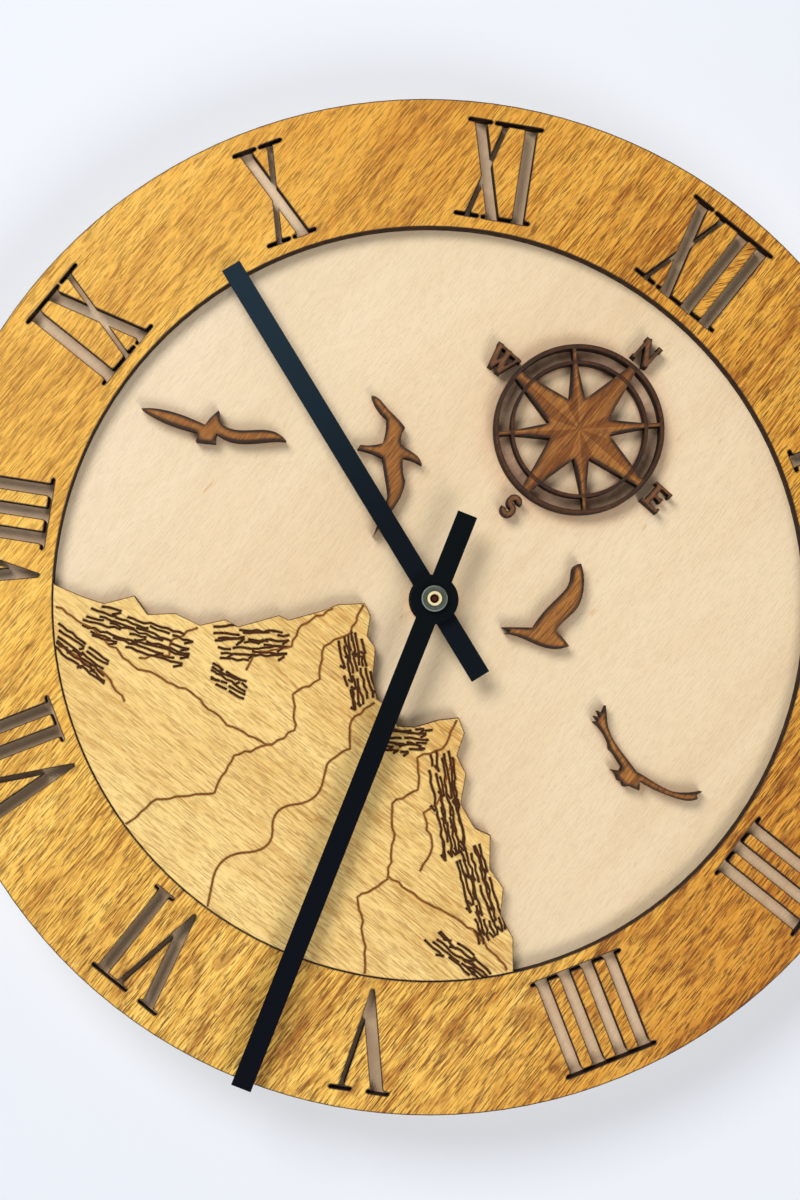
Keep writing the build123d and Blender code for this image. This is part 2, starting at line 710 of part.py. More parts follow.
# Front half of the case: gear room above, open cell bay below
with BuildPart() as front_case:
    with BuildSketch(front(0)):
        RectangleRounded(case_w, case_w, case_corner)
    extrude(amount=case_depth)
    block((-case_half, bay_top), (case_half, case_half), 0, cover_t, Mode.SUBTRACT)
    block((-room_half, room_low), (room_half, room_half), cover_t, case_inner_front, Mode.SUBTRACT)
    block((-room_half, -room_half), (room_half, bay_top), 0, case_inner_front, Mode.SUBTRACT)
    for side in (-1, 1):
        slot_x = sorted((side * room_half, side * (room_half - contact_t - kerf)))
        slot_back = board_front - strip_w - kerf
        block((slot_x[0], bay_top), (slot_x[1], room_low), slot_back, case_inner_front, Mode.SUBTRACT)
        wall_x = sorted((side * room_half, side * case_half))
        window_low = hook_height - hook_w / 2 - kerf
        window_high = hook_height + hook_w / 2 + kerf
        window_front = cover_t + hook_length + kerf
        window_back = window_front - hook_t - 2 * kerf
        block(
            (wall_x[0], window_low),
            (wall_x[1], window_high),
            window_back,
            window_front,
            Mode.SUBTRACT,
        )
        rod(bridge_post_r, (side * board_post_x, board_mid), board_front, case_inner_front)
    for post in bridge_posts:
        rod(bridge_post_r, post, bridge_front, case_inner_front)
    for boss_at, pivot_r in ((motion_at, motion_arbor_r), (knob_at, knob_pivot_r)):
        rod(front_boss_r, boss_at, front_boss_back, case_inner_front)
        rod(pivot_r + run_clear, boss_at, front_boss_back, case_inner_front + pivot_depth, Mode.SUBTRACT)
    rod(bush_r + fit_clear, axis, case_inner_front, case_depth, Mode.SUBTRACT)

# Rear cover, with the hanger, the setting knob's well, pivot bosses and two snap hooks
knob_well_r = knob_r + knob_well_gap
knob_back = knob_recess
knob_front = knob_back + knob_t
well_floor = knob_front + end_play
with BuildPart() as rear_cover:
    with BuildSketch(front(0)):
        RectangleRounded(case_w, case_w, case_corner)
        with Locations((0, (bay_top - case_half) / 2)):
            Rectangle(case_w, bay_top + case_half, mode=Mode.SUBTRACT)
    extrude(amount=cover_t)
    with BuildSketch(front(0)):
        with Locations((0, (hang_z + case_half) / 2)):
            Rectangle(2 * hang_ear_r, hang_z - case_half)
        with Locations((0, hang_z)):
            Circle(hang_ear_r)
        with Locations((0, hang_z - hang_rise - hang_ear_r / 2)):
            Rectangle(2 * hang_ear_r, hang_ear_r, mode=Mode.SUBTRACT)
    extrude(amount=hang_t)
    rod(hang_hole_r, (0, hang_z), 0, hang_t, Mode.SUBTRACT)
    rod(knob_well_r + knob_well_wall, knob_at, cover_t, well_floor + knob_well_wall)
    rod(knob_well_r, knob_at, 0, well_floor, Mode.SUBTRACT)
    rod(knob_shaft_r + run_clear, knob_at, well_floor, well_floor + knob_well_wall, Mode.SUBTRACT)
    rod(boss_r, axis, cover_t, cover_t + boss_h)
    rod(second_pin_r + run_clear, axis, cover_t - pivot_depth, cover_t + boss_h, Mode.SUBTRACT)
    for boss_at in pivoted:
        rod(boss_r, boss_at, cover_t, cover_t + boss_h)
        rod(arbor_r + run_clear, boss_at, cover_t - pivot_depth, cover_t + boss_h, Mode.SUBTRACT)
    for side in (-1, 1):
        hook_x = sorted((side * hook_face, side * (hook_face - hook_t)))
        barb_x = sorted((side * hook_face, side * (hook_face + hook_barb)))
        hook_low = hook_height - hook_w / 2
        hook_high = hook_height + hook_w / 2
        hook_end = cover_t + hook_length
        block((hook_x[0], hook_low), (hook_x[1], hook_high), cover_t, hook_end)
        block((barb_x[0], hook_low), (barb_x[1], hook_high), hook_end - hook_t, hook_end)

# Bridge that carries the front pivots of the time train
with BuildPart() as train_bridge:
    with BuildSketch(front(bridge_back)) as bridge_face:
        with Locations(((bridge_left + bridge_right) / 2, (bridge_low + bridge_high) / 2)):
            Rectangle(bridge_right - bridge_left, bridge_high - bridge_low)
        with Locations(((bridge_ear_left + bridge_right) / 2, (bridge_high + bridge_ear_high) / 2)):
            Rectangle(bridge_right - bridge_ear_left, bridge_ear_high - bridge_high)
        fillet(bridge_face.vertices(), bridge_corner)
    extrude(amount=bridge_t)
    for post in stator_posts:
        rod(stator_post_r, post, stator_back + stator_t, bridge_back)
    rod(minute_tube_r + run_clear, axis, bridge_back, bridge_front, Mode.SUBTRACT)
    rod(motion_arbor_r + run_clear, motion_at, bridge_back, bridge_front, Mode.SUBTRACT)
    rod(knob_shaft_r + run_clear, knob_at, bridge_back, bridge_front, Mode.SUBTRACT)
    for pivot in pivoted:
        rod(arbor_r + run_clear, pivot, bridge_back, bridge_front, Mode.SUBTRACT)

# Time train, from the motor to the arbor
pivot_back = cover_t - pivot_depth + end_play
pivot_front = bridge_front - end_play
with BuildPart() as rotor_pinion:
    gear(rotor_teeth, rotor_module, rotor_at, fifth_back, fifth_back + gear_t + pinion_past, rotor_turn)
    rod(arbor_r, rotor_at, pivot_back, pivot_front)
with BuildPart() as rotor_magnet:
    rod(magnet_r, rotor_at, magnet_back, magnet_back + magnet_t)
    rod(arbor_r + fit_clear, rotor_at, magnet_back, magnet_back + magnet_t, Mode.SUBTRACT)
with BuildPart() as fifth_wheel:
    gear(fifth_pinion_teeth, second_module, fifth_at, second_back, fifth_back, fifth_pinion_turn)
    gear(fifth_teeth, rotor_module, fifth_at, fifth_back, fifth_back + gear_t, 0)
    rod(arbor_r, fifth_at, pivot_back, pivot_front)
with BuildPart() as second_wheel:
    second_front = second_back + gear_t
    gear(second_teeth, second_module, axis, second_back, second_front, 0)
    gear(second_pinion_teeth, third_module, axis, second_front, fifth_back + gear_t + pinion_past, 0)
    rod(second_pin_r, axis, pivot_back, arbor_tip - pin_setback)
with BuildPart() as third_wheel:
    third_front = fifth_back + gear_t
    gear(third_teeth, third_module, third_at, fifth_back, third_front, third_turn)
    gear(third_pinion_teeth, centre_module, third_at, third_front, centre_back + gear_t + pinion_past, 0)
    rod(arbor_r, third_at, pivot_back, pivot_front)
with BuildPart() as centre_wheel:
    gear(centre_teeth, centre_module, axis, centre_back, centre_back + gear_t, centre_turn)
    rod(clutch_r + run_clear, axis, centre_back, centre_back + gear_t, Mode.SUBTRACT)

# Motion work: minute arbor, motion wheel, hour wheel and setting knob
cannon_front = motion_back + gear_t + pinion_past
with BuildPart() as minute_arbor:
    rod(clutch_r, axis, centre_back + pinion_past, arbor_tip)
    rod(clutch_flange_r, axis, centre_back + gear_t + end_play, bridge_back - end_play)
    rod(minute_tube_r, axis, bridge_back - end_play, minute_hand_back)
    gear(cannon_teeth, motion_module, axis, bridge_front + end_play, cannon_front, 0)
    rod(minute_thread_r, axis, minute_hand_back, arbor_tip)
    rod(second_pin_r + run_clear, axis, centre_back, arbor_tip, Mode.SUBTRACT)
    rod(minute_mouth_r, axis, arbor_tip - minute_mouth_depth, arbor_tip, Mode.SUBTRACT)
with BuildPart() as motion_wheel:
    motion_front = motion_back + gear_t
    pinion_front = hour_back + gear_t + pinion_past
    gear(motion_teeth, motion_module, motion_at, motion_back, motion_front, motion_turn)
    gear(motion_pinion_teeth, hour_module, motion_at, motion_front, pinion_front, 0)
    rod(motion_arbor_r, motion_at, bridge_back + end_play, case_inner_front + pivot_depth - end_play)
with BuildPart() as hour_wheel:
    hour_hub_r = (hour_tube_r + bush_flange_r) / 2
    gear(hour_teeth, hour_module, axis, hour_back, hour_back + gear_t, hour_turn)
    rod(hour_hub_r, axis, hour_back + gear_t, bush_back - end_play)
    rod(hour_tube_r, axis, hour_back, hour_hand_back + hand_t)
    rod(minute_tube_r + run_clear, axis, hour_back, hour_hand_back + hand_t, Mode.SUBTRACT)
with BuildPart() as setting_knob:
    rod(knob_r, knob_at, knob_back, knob_front)
    with BuildSketch(front(knob_back)):
        with Locations(knob_at):
            with PolarLocations(knob_r, knob_grooves):
                Circle(knob_groove_r)
    extrude(amount=knob_t, mode=Mode.SUBTRACT)
    rod(knob_shaft_r, knob_at, knob_front, cannon_front + layer_gap)
    gear(knob_teeth, motion_module, knob_at, motion_back - pinion_past, cannon_front, knob_turn)
    rod(knob_pivot_r, knob_at, cannon_front, case_inner_front + pivot_depth - end_play)

# Motor: stator, core, bobbin and winding
stator_arms = (stator_left, stator_right - stator_arm_w)
core_high = coil_z + core_h / 2
core_low = coil_z - core_h / 2
with BuildPart() as stator_plate:
    block((stator_left, stator_low), (stator_right, stator_high), stator_back, stator_back + stator_t)
    for arm in stator_arms:
        block((arm, stator_high), (arm + stator_arm_w, core_high), stator_back, stator_back + stator_t)
    rod(magnet_r + magnet_gap, rotor_at, stator_back, stator_back + stator_t, Mode.SUBTRACT)
with BuildPart() as coil_core:
    block((stator_left, core_low), (stator_right, core_high), core_back, stator_back)
bobbin_left = stator_left + stator_arm_w
bobbin_right = stator_right - stator_arm_w
coil_depth = core_back + core_t / 2


def coil_round(radius, start, end, mode=Mode.ADD):
    """Round bar about the coil's own axis, which runs along X."""
    with BuildSketch(Plane((start, -coil_depth, coil_z), x_dir=(0, 1, 0), z_dir=(1, 0, 0))) as disc:
        Circle(radius)
    extrude(disc.sketch, amount=end - start, mode=mode)


with BuildPart() as coil_bobbin:
    coil_round(bobbin_tube_r, bobbin_left, bobbin_right)
    coil_round(bobbin_flange_r, bobbin_left, bobbin_left + bobbin_flange_t)
    coil_round(bobbin_flange_r, bobbin_right - bobbin_flange_t, bobbin_right)
    core_room = (core_low - fit_clear, core_high + fit_clear)
    block(
        (bobbin_left, core_room[0]),
        (bobbin_right, core_room[1]),
        core_back - fit_clear,
        stator_back + fit_clear,
        Mode.SUBTRACT,
    )
with BuildPart() as coil_winding:
    coil_round(winding_r, bobbin_left + bobbin_flange_t, bobbin_right - bobbin_flange_t)
    coil_round(bobbin_tube_r + fit_clear, bobbin_left, bobbin_right, Mode.SUBTRACT)

# Circuit board with its crystal and chip
with BuildPart() as circuit_board:
    block((-board_half, board_low), (board_half, board_high), board_back, board_front)
with BuildPart() as crystal_can:
    crystal_end = (crystal_x - crystal_length / 2, crystal_r - board_back, board_mid)
    with BuildSketch(Plane(crystal_end, z_dir=(1, 0, 0))):
        Circle(crystal_r)
    extrude(amount=crystal_length)
with BuildPart() as timing_chip:
    rod(chip_r, (chip_x, board_mid), board_back - chip_h, board_back)
    fillet(timing_chip.faces().sort_by(Axis.Y)[-1].edges(), chip_h / 2)

# Cell and its contacts
cell_left = -room_half + contact_t + leaf_reach
cell_plane = Plane((cell_left, -cell_depth, cell_z), x_dir=(0, 1, 0), z_dir=(1, 0, 0))
with BuildPart() as battery_cell:
    with BuildSketch(cell_plane):
        Circle(cell_r)
    extrude(amount=cell_body)
    fillet(battery_cell.edges().filter_by(GeomType.CIRCLE), cell_edge)
    with BuildSketch(cell_plane.offset(cell_body)):
        Circle(cell_nub_r)
    extrude(amount=cell_nub)
contact_low = cell_z - contact_w / 2
contact_high = cell_z + contact_w / 2
strip_back = board_front - strip_w


def contact(side):
    """Plate at one end of the bay, with a strip up the case wall to the circuit board."""
    wall = side * room_half
    plate_x = sorted((wall, wall - side * contact_t))
    finger_x = sorted((wall, side * (board_half - finger_w)))
    plate_back = cell_depth - contact_w / 2
    block((plate_x[0], contact_low), (plate_x[1], contact_high), plate_back, board_front + contact_t)
    block((plate_x[0], contact_high), (plate_x[1], board_mid), strip_back, board_front + contact_t)
    block(
        (finger_x[0], board_mid - finger_w),
        (finger_x[1], board_mid),
        board_front,
        board_front + contact_t,
    )


with BuildPart() as positive_contact:
    contact(1)
with BuildPart() as negative_contact:
    contact(-1)
    plate_face = -room_half + contact_t
    with BuildSketch(front(cell_depth - strip_w)):
        with BuildLine():
            Polyline(
                (plate_face, contact_high),
                (cell_left - fit_clear, cell_z),
                (plate_face, contact_low),
                (plate_face, contact_low + contact_t),
                (cell_left - fit_clear - contact_t, cell_z),
                (plate_face, contact_high - contact_t),
                close=True,
            )
        make_face()
    extrude(amount=2 * strip_w)

pieces = {
    "base_disc": base_disc,
    "numeral_ring": numeral_ring,
    "numeral_islands": numeral_islands,
    "landscape_panel": landscape_panel,
    "compass_rose": compass_rose,
    **letter_parts,
    "bird_far_left": bird_far_left,
    "bird_left": bird_left,
    "bird_right": bird_right,
    "bird_far_right": bird_far_right,
    "hour_hand": hour_hand,
    "minute_hand": minute_hand,
    "hand_nut": hand_nut,
    "gasket": gasket,
    "bush_washer": bush_washer,
    "bush_nut": bush_nut,
    "threaded_bush": threaded_bush,
    "front_case": front_case,
    "rear_cover": rear_cover,
    "train_bridge": train_bridge,
    "rotor_pinion": rotor_pinion,
    "rotor_magnet": rotor_magnet,
    "fifth_wheel": fifth_wheel,
    "second_wheel": second_wheel,
    "third_wheel": third_wheel,
    "centre_wheel": centre_wheel,
    "minute_arbor": minute_arbor,
    "motion_wheel": motion_wheel,
    "hour_wheel": hour_wheel,
    "setting_knob": setting_knob,
    "stator_plate": stator_plate,
    "coil_core": coil_core,
    "coil_bobbin": coil_bobbin,
    "coil_winding": coil_winding,
    "circuit_board": circuit_board,
    "crystal_can": crystal_can,
    "timing_chip": timing_chip,
    "battery_cell": battery_cell,
    "positive_contact": positive_contact,
    "negative_contact": negative_contact,
}
os.makedirs("parts", exist_ok=True)
for name, piece in pieces.items():
    piece.part.label = name
    export_step(piece.part, f"parts/{name}.step")
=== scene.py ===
"""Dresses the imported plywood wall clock: stained wood, burnt lines, satin hands and a moulded movement.

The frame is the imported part: X to the right of the dial, Z up towards XII, and the dial faces -Y.
"""
from __future__ import annotations

import json
import logging
import math
import random
from dataclasses import dataclass, field, replace
from enum import Enum
from typing import Iterable, Sequence, Union

import bmesh
import bpy
from mathutils import Matrix, Vector

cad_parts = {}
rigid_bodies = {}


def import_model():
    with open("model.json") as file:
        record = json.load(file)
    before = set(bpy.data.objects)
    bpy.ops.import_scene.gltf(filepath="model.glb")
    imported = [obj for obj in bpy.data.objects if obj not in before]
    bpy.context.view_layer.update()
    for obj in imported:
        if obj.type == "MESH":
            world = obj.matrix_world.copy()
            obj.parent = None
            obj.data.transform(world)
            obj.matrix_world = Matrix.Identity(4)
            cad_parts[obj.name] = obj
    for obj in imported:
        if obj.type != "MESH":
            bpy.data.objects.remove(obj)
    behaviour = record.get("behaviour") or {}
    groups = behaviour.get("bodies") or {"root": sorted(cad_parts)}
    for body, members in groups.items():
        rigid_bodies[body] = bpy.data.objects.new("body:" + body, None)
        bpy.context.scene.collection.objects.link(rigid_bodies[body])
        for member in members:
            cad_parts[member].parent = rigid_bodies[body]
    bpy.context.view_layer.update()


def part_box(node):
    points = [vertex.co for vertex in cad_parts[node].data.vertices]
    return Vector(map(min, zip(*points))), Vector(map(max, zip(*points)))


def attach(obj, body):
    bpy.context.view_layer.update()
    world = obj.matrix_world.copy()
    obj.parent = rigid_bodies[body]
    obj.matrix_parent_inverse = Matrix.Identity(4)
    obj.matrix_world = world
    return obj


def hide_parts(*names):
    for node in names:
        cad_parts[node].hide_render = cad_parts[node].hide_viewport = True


LOG = logging.getLogger("wall_clock")
MM = 0.001
ROOT_BODY = "clock"
DISC_RADIUS = 125.0 * MM
MERGE = 0.001 * MM
NOISE_LOW = 0.2
NOISE_HIGH = 0.8
EDGE_SAMPLES = 8
BURNT_ROUGH = 0.85
WOOD_GLOSS = 0.2
Colour = tuple[float, float, float]
Point = tuple[float, float]
Levels = tuple[tuple[float, float], ...]
Socket = bpy.types.NodeSocket
Input = Union[Socket, float, Colour]


def tone(red: int, green: int, blue: int) -> Colour:
    """Linear colour of a screen tone.

    Args:
        red: Red from 0 to 255.
        green: Green from 0 to 255.
        blue: Blue from 0 to 255.

    Returns:
        The colour as the shader reads it.
    """

    def linear(value: int) -> float:
        """Linear value of one channel."""
        share = value / 255
        return share / 12.92 if share <= 0.04045 else ((share + 0.055) / 1.055) ** 2.4

    return linear(red), linear(green), linear(blue)


class Grain(Enum):
    """Direction in which the face veneer's fibres run, as turns about the dial's axis in degrees."""

    UPRIGHT = 0.0
    LEVEL = 90.0
    ASKEW = -38.0


class Graph:
    """Node tree of one material, built from its coordinates to its shader."""

    def __init__(self, name: str) -> None:
        """Start an empty material.

        Args:
            name: Name of the material.
        """
        self.material = bpy.data.materials.new(name)
        self.material.use_nodes = True
        self.tree = self.material.node_tree
        self.tree.nodes.clear()

    def node(self, kind: str, **settings: object) -> bpy.types.Node:
        """Add a node.

        Args:
            kind: Type of the node.
            settings: Properties of the node.

        Returns:
            The new node.
        """
        made = self.tree.nodes.new(kind)
        for key, value in settings.items():
            setattr(made, key, value)
        return made

    def feed(self, socket: Socket, value: Input) -> None:
        """Link a socket to another one, or set its constant value.

        Args:
            socket: Socket to feed.
            value: Socket to link it to, or a constant.
        """
        if isinstance(value, Socket):
            self.tree.links.new(value, socket)
        else:
            socket.default_value = value

    def place(self) -> Socket:
        """Coordinates in the part's frame, in metres."""
        return self.node("ShaderNodeTexCoord").outputs["Object"]

    def facing(self) -> Socket:
        """Normal in the part's frame."""
        return self.node("ShaderNodeTexCoord").outputs["Normal"]

    def stretched(self, place: Socket, scale: Sequence[float], turn: float = 0.0,
                  shift: float = 0.0) -> Socket:
        """Coordinates turned about the dial's axis, then scaled along each axis.

        Args:
            place: Coordinates to start from.
            scale: Features per metre along X, Y and Z.
            turn: Turn about the dial's axis in degrees.
            shift: Metres by which the pattern is moved along X.

        Returns:
            The new coordinates.
        """
        turned = self.node("ShaderNodeMapping", vector_type="POINT")
        self.feed(turned.inputs["Vector"], place)
        turned.inputs["Rotation"].default_value = (0.0, math.radians(turn), 0.0)
        turned.inputs["Location"].default_value = (shift, 0.0, 0.0)
        scaled = self.node("ShaderNodeVectorMath", operation="MULTIPLY")
        self.feed(scaled.inputs[0], turned.outputs["Vector"])
        scaled.inputs[1].default_value = scale
        return scaled.outputs["Vector"]

    def noise(self, place: Socket, detail: float = 3.0, rough: float = 0.55, twist: float = 0.0) -> Socket:
        """Noise of unit scale at the coordinates, from 0 to 1.

        Args:
            place: Coordinates, already scaled.
            detail: Number of finer layers.
            rough: Share of each finer layer.
            twist: How far the pattern is twisted.

        Returns:
            The noise's socket.
        """
        made = self.node("ShaderNodeTexNoise")
        self.feed(made.inputs["Vector"], place)
        made.inputs["Scale"].default_value = 1.0
        made.inputs["Detail"].default_value = detail
        made.inputs["Roughness"].default_value = rough
        made.inputs["Distortion"].default_value = twist
        return made.outputs["Fac"]

    def spread(self, noise: Socket, low: float, high: float) -> Socket:
        """Usual range of a noise, mapped to two values."""
        return self.span(noise, NOISE_LOW, NOISE_HIGH, low, high)

    def ramp(self, factor: Socket, stops: Iterable[tuple[float, Colour]]) -> Socket:
        """Colours along a factor.

        Args:
            factor: Socket with values from 0 to 1.
            stops: Places along it with their colours.

        Returns:
            The colour's socket.
        """
        made = self.node("ShaderNodeValToRGB")
        self.feed(made.inputs["Fac"], factor)
        listed = list(stops)
        while len(made.color_ramp.elements) < len(listed):
            made.color_ramp.elements.new(0.5)
        for element, (where, colour) in zip(made.color_ramp.elements, listed):
            element.position = where
            element.color = (*colour, 1.0)
        return made.outputs["Color"]

    def span(self, value: Socket, low: float, high: float, out_low: float = 0.0,
             out_high: float = 1.0) -> Socket:
        """Value mapped smoothly from one range to another, held at its ends.

        Args:
            value: Value to map.
            low: Start of its range.
            high: End of its range.
            out_low: Result at the start.
            out_high: Result at the end.

        Returns:
            The result's socket.
        """
        made = self.node("ShaderNodeMapRange", interpolation_type="SMOOTHSTEP")
        self.feed(made.inputs["Value"], value)
        made.inputs["From Min"].default_value = low
        made.inputs["From Max"].default_value = high
        made.inputs["To Min"].default_value = out_low
        made.inputs["To Max"].default_value = out_high
        return made.outputs["Result"]

    @staticmethod
    def opaque(colour: Input) -> Input:
        """Colour's socket, or a constant colour with full alpha."""
        return colour if isinstance(colour, Socket) else (*colour, 1.0)

    def mixed(self, factor: Input, first: Input, second: Input, blend: str = "MIX") -> Socket:
        """Two colours mixed by a factor.

        Args:
            factor: Share of the second colour.
            first: First colour, a socket or a constant.
            second: Second colour, a socket or a constant.
            blend: Way in which they are mixed.

        Returns:
            The colour's socket.
        """
        made = self.node("ShaderNodeMix", data_type="RGBA", blend_type=blend)
        self.feed(made.inputs["Factor"], factor)
        self.feed(made.inputs["A"], self.opaque(first))
        self.feed(made.inputs["B"], self.opaque(second))
        return made.outputs["Result"]

    def sum(self, operation: str, first: Input, second: Input = 0.0) -> Socket:
        """One step of arithmetic on two values.

        Args:
            operation: Name of the step.
            first: First value.
            second: Second value, where the step has one.

        Returns:
            The result's socket.
        """
        made = self.node("ShaderNodeMath", operation=operation)
        self.feed(made.inputs[0], first)
        self.feed(made.inputs[1], second)
        return made.outputs["Value"]

    def parts(self, vector: Socket) -> bpy.types.NodeOutputs:
        """X, Y and Z of a vector.

        Args:
            vector: Vector to take apart.

        Returns:
            The three sockets, by name.
        """
        made = self.node("ShaderNodeSeparateXYZ")
        self.feed(made.inputs["Vector"], vector)
        return made.outputs

    def radius(self, place: Socket, centre: Point = (0.0, 0.0)) -> Socket:
        """Distance on the dial from a point of it.

        Args:
            place: Coordinates in the part's frame.
            centre: Point to measure from, in metres.

        Returns:
            The distance's socket, in metres.
        """
        parts = self.parts(place)
        across = self.sum("SUBTRACT", parts["X"], centre[0])
        up = self.sum("SUBTRACT", parts["Z"], centre[1])
        return self.sum("SQRT", self.sum("ADD", self.sum("POWER", across, 2.0), self.sum("POWER", up, 2.0)))

    def near_edge(self, reach: float, edge: float = 0.86, level: float = 0.998) -> Socket:
        """1 at an edge of the mesh, falling to 0 within a reach of it.

        Args:
            reach: Distance in metres.
            edge: Likeness of the eased and the plain normal that counts as an edge.
            level: Likeness that counts as level ground.

        Returns:
            The share's socket.
        """
        eased = self.node("ShaderNodeBevel", samples=EDGE_SAMPLES)
        eased.inputs["Radius"].default_value = reach
        alike = self.node("ShaderNodeVectorMath", operation="DOT_PRODUCT")
        self.feed(alike.inputs[0], eased.outputs["Normal"])
        self.feed(alike.inputs[1], self.node("ShaderNodeNewGeometry").outputs["Normal"])
        return self.span(alike.outputs["Value"], edge, level, 1.0, 0.0)

    def finish(self, base: Input, rough: Input, metal: Input = 0.0, relief: Socket | None = None,
               depth: float = 0.0, gloss: float = 0.5) -> bpy.types.Material:
        """Close the tree with its shader.

        Args:
            base: Base colour, a socket or a constant.
            rough: Roughness, a socket or a constant.
            metal: Metallic share, a socket or a constant.
            relief: Height for fine relief, or None.
            depth: Depth of the relief in metres.
            gloss: Level of the mirror-like part of the light.

        Returns:
            The finished material.
        """
        shader = self.node("ShaderNodeBsdfPrincipled")
        self.feed(shader.inputs["Base Color"], self.opaque(base))
        self.feed(shader.inputs["Roughness"], rough)
        self.feed(shader.inputs["Metallic"], metal)
        shader.inputs["Specular IOR Level"].default_value = gloss
        if relief is not None:
            bump = self.node("ShaderNodeBump")
            bump.inputs["Strength"].default_value = 1.0
            bump.inputs["Distance"].default_value = depth
            self.feed(bump.inputs["Height"], relief)
            self.feed(shader.inputs["Normal"], bump.outputs["Normal"])
        output = self.node("ShaderNodeOutputMaterial")
        self.feed(output.inputs["Surface"], shader.outputs["BSDF"])
        return self.material


@dataclass(frozen=True)
class WoodLayer:
    """One layer of the wood's pattern: its features per metre along X, Y and Z, and its noise."""

    scale: tuple[float, float, float]
    detail: float
    rough: float = 0.55
    twist: float = 0.0


FIGURE = WoodLayer((52.0, 20.0, 11.0), 4.0, 0.6, 0.8)
BLOTCH = WoodLayer((220.0, 90.0, 95.0), 3.0, 0.6, 0.6)
STREAK = WoodLayer((560.0, 200.0, 34.0), 4.0, 0.65)
THREAD = WoodLayer((2700.0, 450.0, 110.0), 2.0)
PORE = WoodLayer((2900.0, 700.0, 210.0), 2.0)
HAIR = WoodLayer((3600.0, 900.0, 320.0), 1.0)


